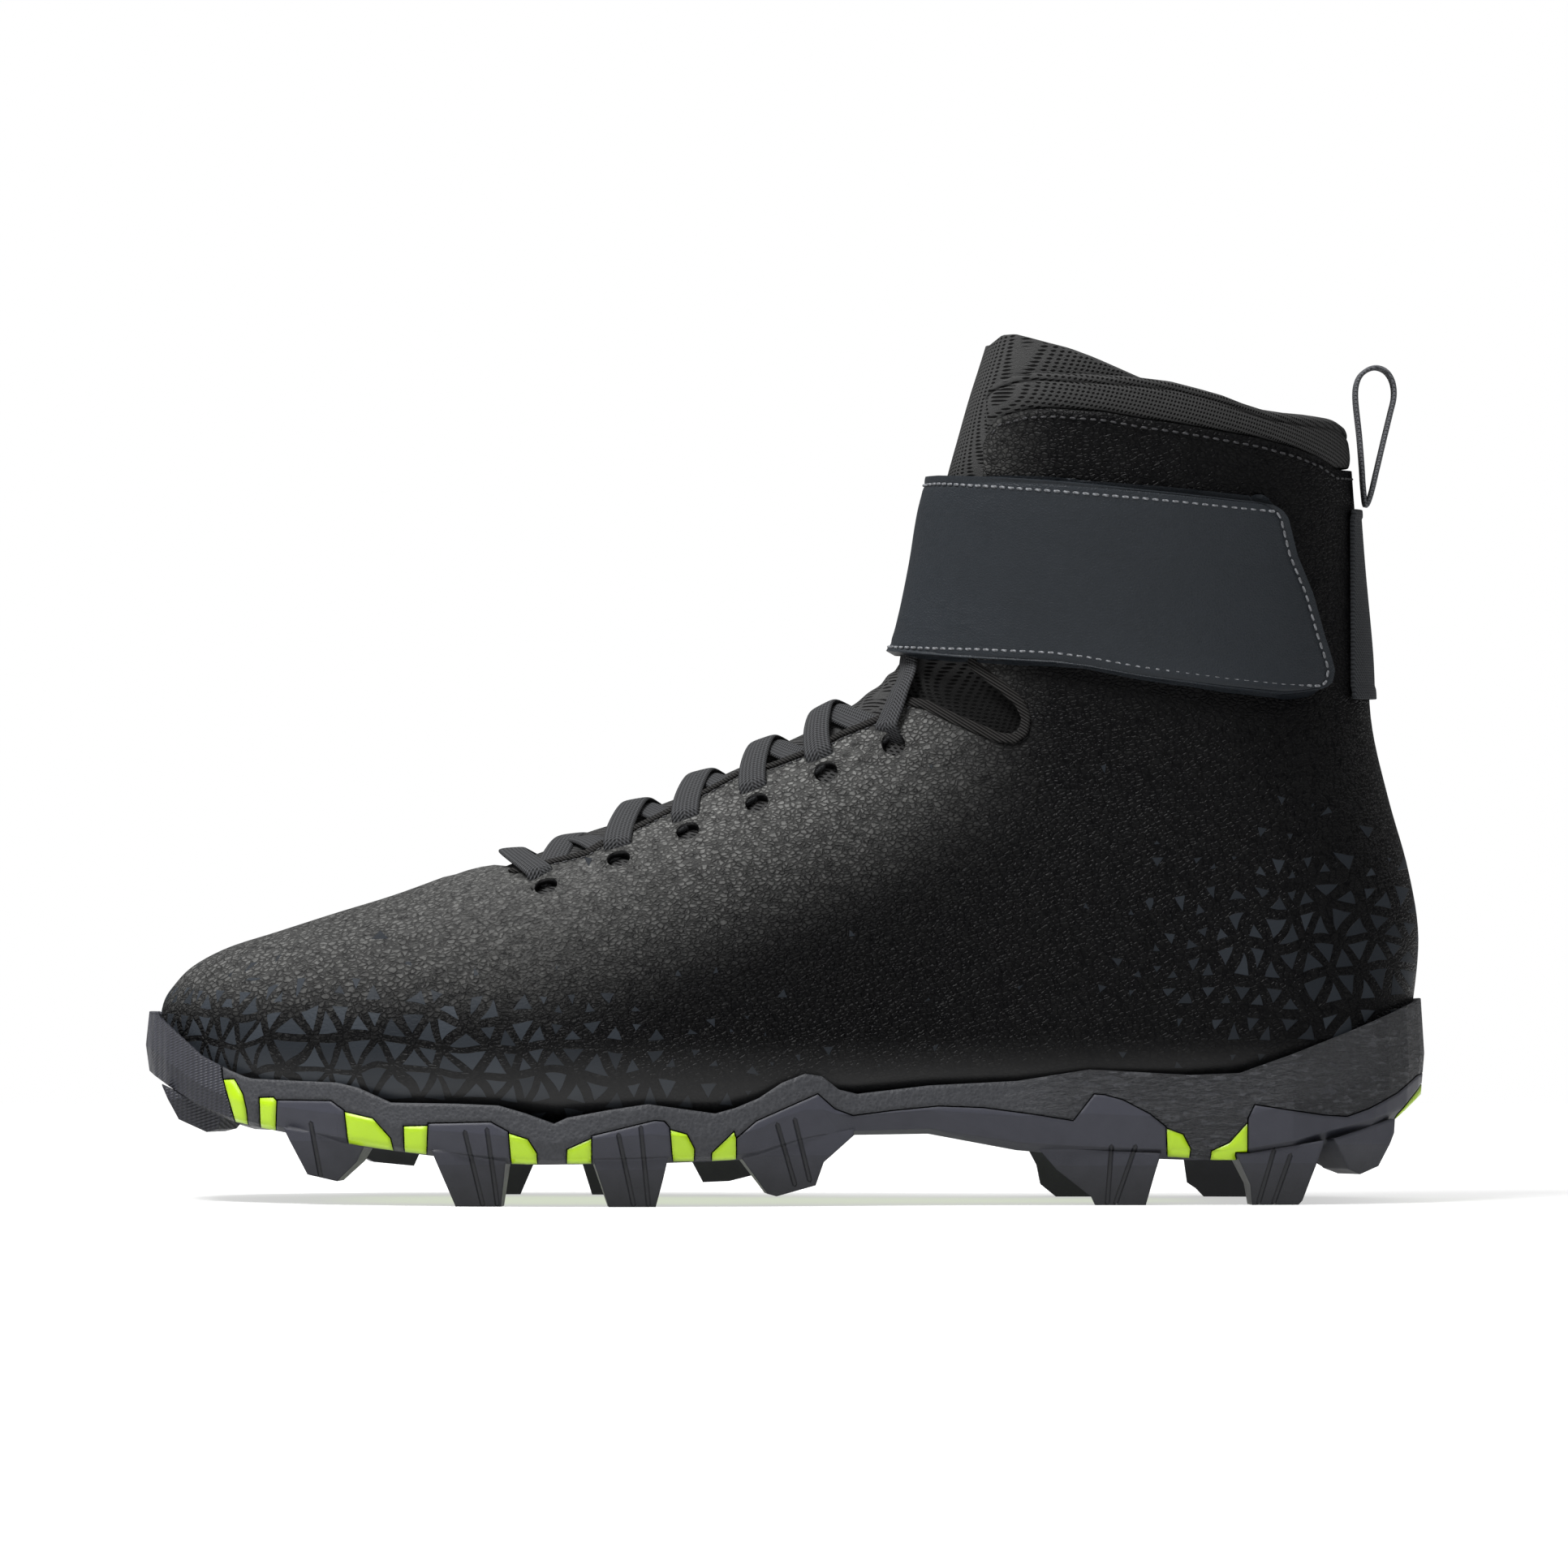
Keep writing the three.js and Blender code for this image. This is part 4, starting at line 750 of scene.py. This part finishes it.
BINDING_WIDTH = 2.4
BINDING_THICKNESS = 1.0
black_thread = thread("black thread", paint(38, 38, 41))
binding_cloth = Finish("black edge binding", Specular_IOR_Level=0.1, Roughness=0.8)
binding_place = binding_cloth.place()
slant = (binding_place.axis(0) + binding_place.axis(2) * 1.6) * 5200
rib = slant.math("SINE") * 0.5 + 0.5
binding_cloth.drive(Base_Color=binding_cloth.colour(rib, paint(4, 4, 4), paint(42, 41, 40)),
                    Normal=binding_cloth.relief(rib, 0.0003))
for hand, word in ((-1, "lateral"), (1, "medial")):
    shift = np.linspace(0.03, 0.97, 200)
    below = rows_at(quarter_top - [0, 1.9], shift, throat_angle, under_angle, 21)
    path, normals = on_last(below, hand * between(below, shift, throat_angle, under_angle), 0.0)
    sewn("quarter_stitching_" + word, path, normals, black_thread,
         pitch=2.4, length=1.7, thickness=0.55)
    edge_rows = np.linspace(9.2, 16.4, 160)
    edge_angles = np.interp(edge_rows, ROWS, throat_angle)
    radius = np.linalg.norm(last(edge_rows, edge_angles + 1.0) - last(edge_rows, edge_angles), axis=1)
    path, normals = on_last(edge_rows, hand * (edge_angles + 2.2 / radius), 0.0)
    sewn("throat_stitching_" + word, path, normals, black_thread,
         pitch=2.2, length=1.5, thickness=0.5)
    band_rows = np.linspace(8.9, 19.4, 240)
    band_angles = np.interp(band_rows, ROWS, throat_angle)
    band = flat_strand("throat_binding_" + word, band_rows, hand * (band_angles + 1.1),
                       np.full_like(band_rows, 0.1), BINDING_WIDTH, BINDING_THICKNESS)
    coat(band, binding_cloth.material)

# Collar cuff: a padded band of black spacer mesh round the collar, lined with the same mesh.
# It is sewn behind the leather's top edge, and its own top edge is rolled and stitched.
COLLAR = [
    [65.2, 93.0], [66.3, 94.1], [67.6, 94.8], [69.1, 95.1], [73.1, 94.8], [76.8, 94.4],
    [79.8, 93.8], [82.1, 92.9], [84.0, 92.1], [85.7, 91.1], [87.4, 90.3], [89.7, 89.8],
    [92.0, 89.5], [93.1, 89.3], [93.8, 88.7], [94.3, 87.5], [94.6, 86.2],
]
CUFF_PAD = 5
CUFF_DEPTH = 26
YARN_PITCH = 1.25


def smooth_path(points, steps, closed=False):
    """Catmull-Rom curve through the points, with this many steps from one to the next."""
    points = np.asarray(points, float)
    if closed:
        points = np.concatenate([points[-1:], points, points[:2]])
        at = np.arange(1, len(points) - 2, 1 / steps)
    else:
        at = np.linspace(0, len(points) - 1, (len(points) - 1) * steps + 1)
    return smooth_rows(points, at)


def spacer_mesh(name, slot_shade=0.0):
    """Open knitted spacer mesh: light yarns crossing slantwise over dark holes. The slot shade darkens
    the cloth low on the ankle, where it lies deep between the eyestays and under the strap."""
    finish = Finish(name, Specular_IOR_Level=0.1)
    place = finish.place()
    x, y, z = (place.axis(index) * 1000 for index in range(3))
    pitch = math.tau / YARN_PITCH
    first = ((x * 0.85 + y * 0.85 + z * 0.5) * pitch).math("SINE")
    second = ((x * -0.55 - y * 0.55 + z * 0.85) * pitch).math("SINE")
    holes = (first * second).above(0.12, 0.6)
    fine = finish.noise(place, 3600, 2)
    slot = x.above(24.0, 34.0) * (1 - z.above(116.0, 128.0)) * slot_shade
    yarn = (1 - holes) * (0.35 + fine * 0.65)
    return finish.drive(
        Base_Color=finish.colour(yarn * (1 - slot), paint(3, 3, 3), paint(66, 66, 66)),
        Roughness=0.88 - yarn * 0.15,
        Normal=finish.relief(yarn + fine * 0.2, 0.0004),
    )


cuff_mesh = spacer_mesh("black collar mesh")
collar_line = side(COLLAR)
around = np.linspace(0.0, 1, 90)
full_turn = np.full_like(throat_angle, 180.0)
cuff_low = rows_at(quarter_top, around, throat_angle, full_turn, 21)
cuff_high = rows_at(collar_line, around, throat_angle, full_turn, 21)
low_points = last(cuff_low, between(cuff_low, around, throat_angle, full_turn))
high_points = last(cuff_high, between(cuff_high, around, throat_angle, full_turn))
cuff_height = np.linalg.norm(high_points - low_points, axis=1)
rows_per_mm = (cuff_high - cuff_low) / cuff_height
backward = np.clip((high_points[:, 0] - X(70)) / (X(86) - X(70)), 0, 1)
pad = 0.6 + CUFF_PAD * backward**2 * (3 - 2 * backward)
depth = 9 + (CUFF_DEPTH - 9) * backward
# The cuff's section. Columns: share of the band's height, mm added to it, share of the depth below
# the top edge, growth out of the last, share of the padding taken inwards.
CUFF_SECTION = np.array([
    [0, 0.3, 0, -2.3, 0], [0, 0.3, 0, -1.2, 0], [0, 1.0, 0, -0.6, 0],
    [0.35, 0, 0, -0.15, 0], [0.7, 0, 0, -0.2, 0],
    [1, -2.4, 0, -0.45, 0], [1, -1.9, 0, -0.85, 0], [1, -1.4, 0, -0.45, 0], [1, -0.5, 0, -0.5, 0],
    [1, 0, 0, -1.4, 0.1], [1, -0.1, 0, -2.1, 0.5], [1, -1.0, 0, -2.4, 0.9], [1, 0, -0.3, -2.5, 1.05],
    [1, 0, -0.7, -2.5, 0.9], [1, 0, -1, -2.6, 0.3], [1, 0, -1, -2.5, 0],
    [1, 0, -0.7, -2.45, 0], [0, -0.5, 0, -2.45, 0],
])
section = smooth_path(CUFF_SECTION, 4, closed=True)
rise = section[:, 0] * cuff_height[:, None] + section[:, 1] + section[:, 2] * depth[:, None]
growth = section[:, 3] - section[:, 4] * pad[:, None]
cuff_rows = np.minimum(cuff_low[:, None] + rise * rows_per_mm[:, None], LAST_ROW)
ends = np.sqrt(np.clip(1 - (1 - np.clip(around * 22, 0, 1)) ** 2, 0, 1))[:, None]
middle_rows, middle_growth = cuff_rows.mean(1, keepdims=True), growth.mean(1, keepdims=True)
cuff_rows = middle_rows + (cuff_rows - middle_rows) * (0.5 + 0.5 * ends)
growth = middle_growth + (growth - middle_growth) * ends
cuff_angles = between(cuff_rows, around[:, None], throat_angle, full_turn)
lateral = last(cuff_rows, -cuff_angles, growth)
medial = last(cuff_rows, cuff_angles, growth)
cuff = grid_piece("cuff", np.concatenate([lateral, medial[::-1][1:]])[:, ::-1], wrap=True)
coat(cuff, cuff_mesh)
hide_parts("collar_cuff")

# Tongue: a long padded piece of the same spacer mesh, sewn in at the front of the throat.
# It wraps the front of the ankle and stands above the collar.
TONGUE_OUTLINE = [
    [23.0, 35.6], [24.3, 31.0], [33.1, 30.0], [42.6, 34.5], [52.2, 40.0], [61.7, 45.0],
    [70.5, 45.5], [71.9, 55.9], [73.4, 71.7], [76.6, 85.5], [77.6, 94.0], [77.7, 200], [0, 200], [0, 60],
]
TONGUE_TOP = [
    [65.2, 98.9], [66.2, 100.0], [67.3, 100.0], [68.8, 99.2],
    [70.9, 98.2], [73.1, 96.9], [76.8, 94.5], [77.6, 94.0],
]
TONGUE_THICKNESS = 4.5
TONGUE_FIRST_ROW = 8.0
BEND_ROW = 21.0
SLOT_ROW = 17.2
SLOT_DEPTH = 1.8
tongue_edge = leaving_angle(side(TONGUE_OUTLINE))
none = np.zeros_like(tongue_edge)
across = np.linspace(0, 1, 40)
tongue_tops = rows_at(side(TONGUE_TOP), across, none, tongue_edge, 21)
lengthwise = np.linspace(TONGUE_FIRST_ROW, LAST_ROW, 260)
tongue_rows = fitted(lengthwise[:, None] * np.ones_like(across), BEND_ROW, tongue_tops)
tongue_angles = between(tongue_rows, across, none, tongue_edge)
crown = np.exp(-(tongue_angles / 13) ** 2) * np.clip((tongue_rows - 8.6) / 1.2, 0, 1)
crown *= np.clip((18 - tongue_rows) / 2, 0, 1)
puffs = 0.5 + 0.5 * np.cos((tongue_rows - 9.9) * math.tau)
slot = np.exp(-(((tongue_rows - SLOT_ROW) / 1.8) ** 2)) * np.clip((tongue_angles - 14) / 10, 0, 1)
tongue_growth = -WALL - FIT + crown * (0.9 + 0.35 * puffs) - SLOT_DEPTH * slot
halves = [last(tongue_rows, hand * tongue_angles, tongue_growth) for hand in (-1, 1)]
tongue = grid_piece("tongue_pad", np.concatenate([halves[0][:, ::-1], halves[1]], 1))
thicken(tongue, TONGUE_THICKNESS, 1.6, 3)
coat(tongue, spacer_mesh("black tongue mesh", 0.9))
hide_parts("tongue")

# Laces: one flat woven polyester lace, laid straight across the bottom pair of eyelets and then
# crossed over the tongue five times. Each strand comes out of its eyelet and goes under the far edge.
LACE_WIDTH = 6.6
LACE_THICKNESS = 1.3
RIB_PITCH = 0.85
WALE_PITCH = 0.9
LACE_OVER = FIT + LACE_THICKNESS / 2 + 0.1
LACE_UNDER = LACE_THICKNESS / 2 - WALL + 0.1


def eased(share):
    """Smooth step from 0 to 1 as the share goes from 0 to 1."""
    share = np.clip(share, 0, 1)
    return share * share * (3 - 2 * share)


def flat_weave(name, first, second):
    """Tubular flat weave: fine slanted ribs that meet in chevrons across the width of the strand."""
    finish = Finish(name, Specular_IOR_Level=0.15)
    chart = finish.node("UVMap", {"uv_map": "print"})
    u, v = chart.axis(0), chart.axis(1)
    ribs = ((u + v.math("ABSOLUTE") * 0.8) * (math.tau / RIB_PITCH)).math("SINE") * 0.5 + 0.5
    wales = (v * (math.tau / WALE_PITCH)).math("COSINE") * 0.5 + 0.5
    weave = ribs * 0.6 + wales * 0.4
    return finish.drive(
        Base_Color=finish.colour(weave, first, second),
        Roughness=0.85 - weave * 0.15,
        Normal=finish.relief(weave, 0.00032),
    )


lace_cloth = flat_weave("dark grey lace", paint(12, 12, 13), paint(66, 67, 69))
run = np.linspace(0, 1, 90)
dip = 5.0 * (1 - eased(run / 0.06))
EYELET_START = 3.4
starts = [(row, angle - EYELET_START) for row, angle in EYELETS]


def lace_strand(name, rows, angles, growth):
    """One strand of the lace along a path on the last."""
    lace = flat_strand(name, rows, angles, growth, LACE_WIDTH, LACE_THICKNESS)
    coat(lace, lace_cloth)
    return lace


for number, ((row_a, angle_a), (row_b, angle_b)) in enumerate(zip(starts, starts[1:]), 1):
    for hand, lift, word in ((-1, 0.75, "over"), (1, -0.55, "under")):
        height = LACE_OVER + (LACE_UNDER - LACE_OVER) * eased((run - 0.45) / 0.3) - dip
        if number == 1:
            height = LACE_UNDER - 1.2 + 1.2 * np.sin(math.pi * run) ** 0.5
        height = height + lift * np.exp(-(((run - 0.48) / 0.14) ** 2))
        lace = lace_strand(f"lace_{number}_{word}", row_a + (row_b - row_a) * run**1.45,
                           hand * (angle_a + (-angle_b - angle_a) * run), height)
        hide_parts(f"lace_crossing_{number}")
both_dips = dip + dip[::-1]
bar = lace_strand("lace_across", EYELETS[0][0] - 0.45 * np.sin(math.pi * run), starts[0][1] * (2 * run - 1),
                  LACE_OVER - 0.2 * np.sin(math.pi * run) - both_dips)
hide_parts("lace_bar")
for hand, word in ((-1, "lateral"), (1, "medial")):
    climb = LACE_OVER + (LACE_UNDER + 0.1 - LACE_OVER) * eased((run - 0.3) / 0.5) - dip
    lace = lace_strand("lace_top_" + word, EYELETS[-1][0] + (18.2 - EYELETS[-1][0]) * run**1.2,
                       hand * (starts[-1][1] + (7.5 - starts[-1][1]) * run), climb)
    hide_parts("lace_end_" + word)

# Ankle strap: slate synthetic leather over a thin foam, sewn down on the medial side, brought over
# the front and closed by hook and loop on the lateral side. Its edge is bound by a light stitch row.
STRAP_TOP = [
    [60.7, 81.8], [61.5, 82.2], [62.7, 82.3], [66.7, 82.1],
    [71.5, 81.6], [76.4, 80.9], [80.7, 80.3], [84.7, 79.7],
    [87.0, 79.4], [89, 79.2],
]
STRAP_BOTTOM = [
    [57.5, 60.9], [64.0, 60.2], [71.1, 59.8], [73.7, 59.4],
    [77.5, 58.4], [81.3, 57.7], [84.2, 57.2], [88.4, 56.7],
    [92.5, 56.6],
]
STRAP_FREE_END = np.array([
    [86.4, 56.6], [88.4, 56.7], [90.6, 57.1], [91.4, 57.4],
    [92.0, 58.1], [92.2, 59.6], [91.9, 61.3], [91.4, 63.7],
    [90.5, 68.7], [89.3, 73.2], [88.6, 77.6], [88.2, 78.5], [87.6, 79.1], [86.2, 79.5],
])
STRAP_MEDIAL_END = 84.4
STRAP_THICKNESS = 2.2
strap_top, strap_bottom = side(STRAP_TOP), side(STRAP_BOTTOM)
free_end = side(STRAP_FREE_END)
strap_angles = np.linspace(0, 170, 341)
straight_round = np.full_like(ROWS, 180.0)
strap_low = rows_at(strap_bottom, strap_angles / 180, none, straight_round, 15)
strap_high = rows_at(strap_top, strap_angles / 180, none, straight_round, 15)
cross = 0.5 - 0.5 * np.cos(np.linspace(0, math.pi, 61))


def strap_rows(angles, cross):
    """Row at a share of the way across the strap, from its lower to its upper edge."""
    low, high = np.interp(angles, strap_angles, strap_low), np.interp(angles, strap_angles, strap_high)
    return low + (high - low) * cross


trial = np.broadcast_to(strap_angles, (len(cross), len(strap_angles)))
trial_points = last(strap_rows(trial, cross[:, None]), trial, FIT)
free_x = np.interp(trial_points[..., 2], free_end[:, 1], free_end[:, 0])
lateral_end = first_past(trial, free_x - trial_points[..., 0])
medial_end = first_past(trial, X(STRAP_MEDIAL_END) - trial_points[..., 0])
length_share = np.concatenate([np.linspace(0, 0.5, 100)[:-1], 1 - 0.5 * np.linspace(1, 0, 130) ** 1.3])
end_angles = np.where(length_share[:, None] < 0.5, medial_end, -lateral_end)
strap_turn = end_angles * np.abs(2 * length_share[:, None] - 1)
strap_at = strap_rows(np.abs(strap_turn), cross)
strap_base = last(strap_at, strap_turn, FIT + STRAP_THICKNESS)
from_low = np.linalg.norm(strap_base - strap_base[:, :1], axis=-1)
from_high = np.linalg.norm(strap_base - strap_base[:, -1:], axis=-1)
from_end = np.linalg.norm(strap_base - strap_base[-1:], axis=-1)
edge_gap = np.minimum(np.minimum(from_low, from_high), from_end)
STITCH_INSET = 2.1
groove = np.exp(-(((edge_gap - STITCH_INSET) / 0.7) ** 2))
strap_growth = FIT + STRAP_THICKNESS - 0.28 * groove + 0.25 * eased((edge_gap - 3) / 6)
strap = grid_piece("strap", last(strap_at, strap_turn, strap_growth)[::-1])
thicken(strap, STRAP_THICKNESS, 0.5, 3)


def slate_leather():
    """Smooth coated leather with a fine grain, fine creases and soft folds, in a clouded slate tone."""
    finish = Finish("slate leather", Specular_IOR_Level=0.2)
    place = finish.place()
    fine = finish.cells(place, 1500)
    creases = finish.noise(place, 420, 6, 0.62)
    soft = finish.noise(place, 45, 3)
    stretched = finish.node("Mapping", {}, {0: place, "Scale": (0.5, 0.5, 1.6)})
    folds = finish.noise(stretched, 160, 4).above(0.5, 0.75)
    return finish.drive(
        Base_Color=finish.colour(soft * 0.6 + creases * 0.4, paint(21, 25, 29), paint(33, 37, 42)),
        Roughness=0.46 + creases * 0.12,
        Normal=finish.relief(fine.above(0, 0.3) * 0.35 + creases * 0.6 + folds * 0.5, 0.00013),
    )


coat(strap, slate_leather())
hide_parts("ankle_strap")
grey_thread = thread("light grey thread", paint(112, 114, 118))


def strap_line(inward):
    """Path of stitches round the strap a distance in mm inside its edges, and the ways out of it."""
    width = np.linalg.norm(strap_base[:, -1] - strap_base[:, 0], axis=1)
    size = np.linalg.norm(np.diff(strap_base[:, 30], axis=0), axis=1).sum()
    along = np.concatenate([np.linspace(inward, size - inward, 600), np.full(120, size - inward)])
    run = np.concatenate([[0], np.cumsum(np.linalg.norm(np.diff(strap_base[:, 30], axis=0), axis=1))])
    column = np.interp(along, run, np.arange(len(run)))
    margin = inward / np.interp(column, np.arange(len(width)), width)
    low = np.concatenate([margin[:600], np.linspace(margin[599], 1 - margin[599], 120)])
    column = np.concatenate([column, column[:600][::-1]])
    low = np.concatenate([low, 1 - margin[:600][::-1]])
    share = np.interp(column, np.arange(len(length_share)), length_share)
    reach = np.where(share < 0.5, np.interp(low, cross, medial_end), -np.interp(low, cross, lateral_end))
    turn = reach * np.abs(2 * share - 1)
    return on_last(strap_rows(np.abs(turn), low), turn, FIT + STRAP_THICKNESS - 0.12)


path, normals = strap_line(STITCH_INSET)
sewn("strap_stitching", path, normals, grey_thread,
     pitch=2.3, length=1.85, thickness=0.66)

# Heel tab: a patch of dark woven elastic down the back, hemmed at both ends and sewn at its sides.
HEEL_TAB_BOTTOM = 56.2
HEEL_TAB_TOP = 79.0
HEEL_TAB_FRONT = 93.9
HEEL_TAB_THICKNESS = 1.3
tab_share = np.linspace(0, 1, 49)
tab_low = rows_at(side([[50, HEEL_TAB_BOTTOM], [120, HEEL_TAB_BOTTOM]]), tab_share, none, straight_round, 15)
tab_high = rows_at(side([[50, HEEL_TAB_TOP], [120, HEEL_TAB_TOP]]), tab_share, none, straight_round, 15)
tab_rows_edge = np.linspace(23, 26.5, 60)
tab_trial = np.broadcast_to(np.linspace(60, 180, 241), (60, 241))
tab_start = first_past(tab_trial, X(HEEL_TAB_FRONT) - last(tab_rows_edge[:, None], tab_trial)[..., 0])
upwards = np.linspace(0, 1, 60)
tab_angles = np.zeros((60, 49))
tab_rows = np.zeros((60, 49)) + 25
# Rows and angles depend on each other, so four rounds settle them.
for _ in range(4):
    tab_angles = np.interp(tab_rows, tab_rows_edge, tab_start)
    tab_angles = tab_angles + (180 - tab_angles) * tab_share
    low = np.interp(tab_angles / 180, tab_share, tab_low)
    high = np.interp(tab_angles / 180, tab_share, tab_high)
    tab_rows = low + (high - low) * upwards[:, None]
hem = np.maximum(eased((0.065 - upwards) / 0.02), eased((upwards - 0.935) / 0.02))[:, None]
tab_growth = FIT + HEEL_TAB_THICKNESS + 0.35 * hem
halves = [last(tab_rows, hand * tab_angles, tab_growth) for hand in (-1, 1)]
heel_tab = grid_piece("heel_patch", np.concatenate([halves[0], halves[1][:, ::-1][:, 1:]], 1)[:, ::-1])
thicken(heel_tab, HEEL_TAB_THICKNESS, 0.4, 2)


def twill(name, first, second, per_metre, depth):
    """Twill weave: slanted ribs, broken by the cross yarns."""
    finish = Finish(name, Specular_IOR_Level=0.12)
    place = finish.place()
    slant = place.axis(2) + place.axis(1) * 0.9 + place.axis(0) * 0.5
    ribs = (slant * per_metre * math.tau).math("SINE") * 0.5 + 0.5
    yarn = (place.axis(2) * per_metre * 1.9 * math.tau).math("SINE") * 0.5 + 0.5
    weave = ribs * 0.7 + yarn * 0.3
    return finish.drive(
        Base_Color=finish.colour(weave, first, second),
        Roughness=0.85 - weave * 0.1,
        Normal=finish.relief(weave, depth),
    )


coat(heel_tab, twill("dark woven elastic", paint(26, 27, 29), paint(52, 54, 57), 900, 0.0002))
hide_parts("heel_tab")

# Pull loop: grey woven tape, folded into a loop and sewn in at the top of the heel tab.
PULL_LOOP = [
    [95.4, 79.3], [95.2, 81.6], [95.1, 84.0], [94.9, 87.8], [94.6, 92.4], [94.8, 94.5],
    [95.4, 95.6], [96.2, 96.0], [97.0, 95.5], [97.5, 94.2], [97.6, 92.4], [97.3, 90.3],
    [96.8, 87.1], [96.3, 83.8], [95.8, 80.6],
]
LOOP_TAPE_WIDTH = 12
LOOP_TAPE_THICKNESS = 1.1
loop_path = smooth_path(side(PULL_LOOP), 6, closed=True)
loop_way = np.roll(loop_path, -1, 0) - np.roll(loop_path, 1, 0)
loop_way /= np.linalg.norm(loop_way, axis=1)[:, None]
loop_out = np.stack([loop_way[:, 1], -loop_way[:, 0]], -1)
turn = np.linspace(0, math.tau, 29)[:-1]
tape_wide = np.sign(np.cos(turn)) * np.abs(np.cos(turn)) ** 0.35 * LOOP_TAPE_WIDTH / 2
tape_thick = np.sign(np.sin(turn)) * np.abs(np.sin(turn)) ** 0.7 * LOOP_TAPE_THICKNESS / 2
flat_points = loop_path[:, None] + loop_out[:, None] * tape_thick[:, None]
points = np.insert(flat_points, 1, tape_wide, -1)
points = np.concatenate([points, points[:1]])
pull_loop = grid_piece("loop_tape", points, wrap=True)
coat(pull_loop, twill("grey loop tape", paint(46, 47, 50), paint(92, 93, 96), 1100, 0.00016))
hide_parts("pull_loop")

# Floor and light: a lit white ground under one very large soft lamp, with a small key lamp above
# the toe and a weak one in front. A long lens looks square at the shoe's lateral side.
floor = bpy.data.objects.new("floor", bpy.data.meshes.new("floor"))
floor.data.from_pydata([(-4, -4, 0), (4, -4, 0), (4, 0.9, 0), (-4, 0.9, 0)], [], [(0, 1, 2, 3)])
bpy.context.scene.collection.objects.link(floor)
floor_paint = Finish("floor white", Roughness=0.9, Specular_IOR_Level=0.1, Base_Color=(0.42, 0.42, 0.42, 1),
                     Emission_Color=(1, 1, 1, 1), Emission_Strength=0.56)
coat(floor, floor_paint.material)


def lamp(name, place, target, size, power):
    """A soft rectangular lamp turned towards a point."""
    data = bpy.data.lights.new(name, "AREA")
    data.shape, data.size, data.size_y, data.energy = "RECTANGLE", size[0], size[1], power
    made = bpy.data.objects.new(name, data)
    made.location = place
    way = np.array(target, float) - np.array(place, float)
    made.rotation_euler = (
        math.acos(-way[2] / np.linalg.norm(way)), 0, math.atan2(way[1], way[0]) - math.pi / 2)
    bpy.context.scene.collection.objects.link(made)
    return made


lamp("ceiling", (0, 1.6, 2.6), (0, 1.6001, 0), (9, 7), 200)
lamp("key", (-0.55, -0.42, 1.4), (-0.02, 0, 0.08), (0.7, 0.5), 40)
lamp("front_fill", (0.3, -2.6, 0.75), (0, 0, 0.06), (1.6, 0.6), 6)
world = bpy.data.worlds.new("studio")
world.use_nodes = True
sky = world.node_tree
background = sky.nodes["Background"]
background.inputs["Color"].default_value = (1, 1, 1, 1)
seen = sky.nodes.new("ShaderNodeLightPath")
strength = sky.nodes.new("ShaderNodeMapRange")
strength.inputs["To Min"].default_value = 0.12
strength.inputs["To Max"].default_value = 1.0
sky.links.new(seen.outputs["Is Camera Ray"], strength.inputs["Value"])
sky.links.new(strength.outputs["Result"], background.inputs["Strength"])
bpy.context.scene.world = world
bpy.context.scene.view_settings.view_transform = "Standard"

CAMERA_DISTANCE = 3.0
CAMERA_HEIGHT = 0.0968
LENS_MM = 296
camera = bpy.data.objects.new("camera", bpy.data.cameras.new("camera"))
camera.location = (0, -CAMERA_DISTANCE, CAMERA_HEIGHT)
camera.rotation_euler = (math.pi / 2, 0, 0)
camera.data.sensor_width = 36
camera.data.lens = LENS_MM
bpy.context.scene.collection.objects.link(camera)
bpy.context.scene.camera = camera
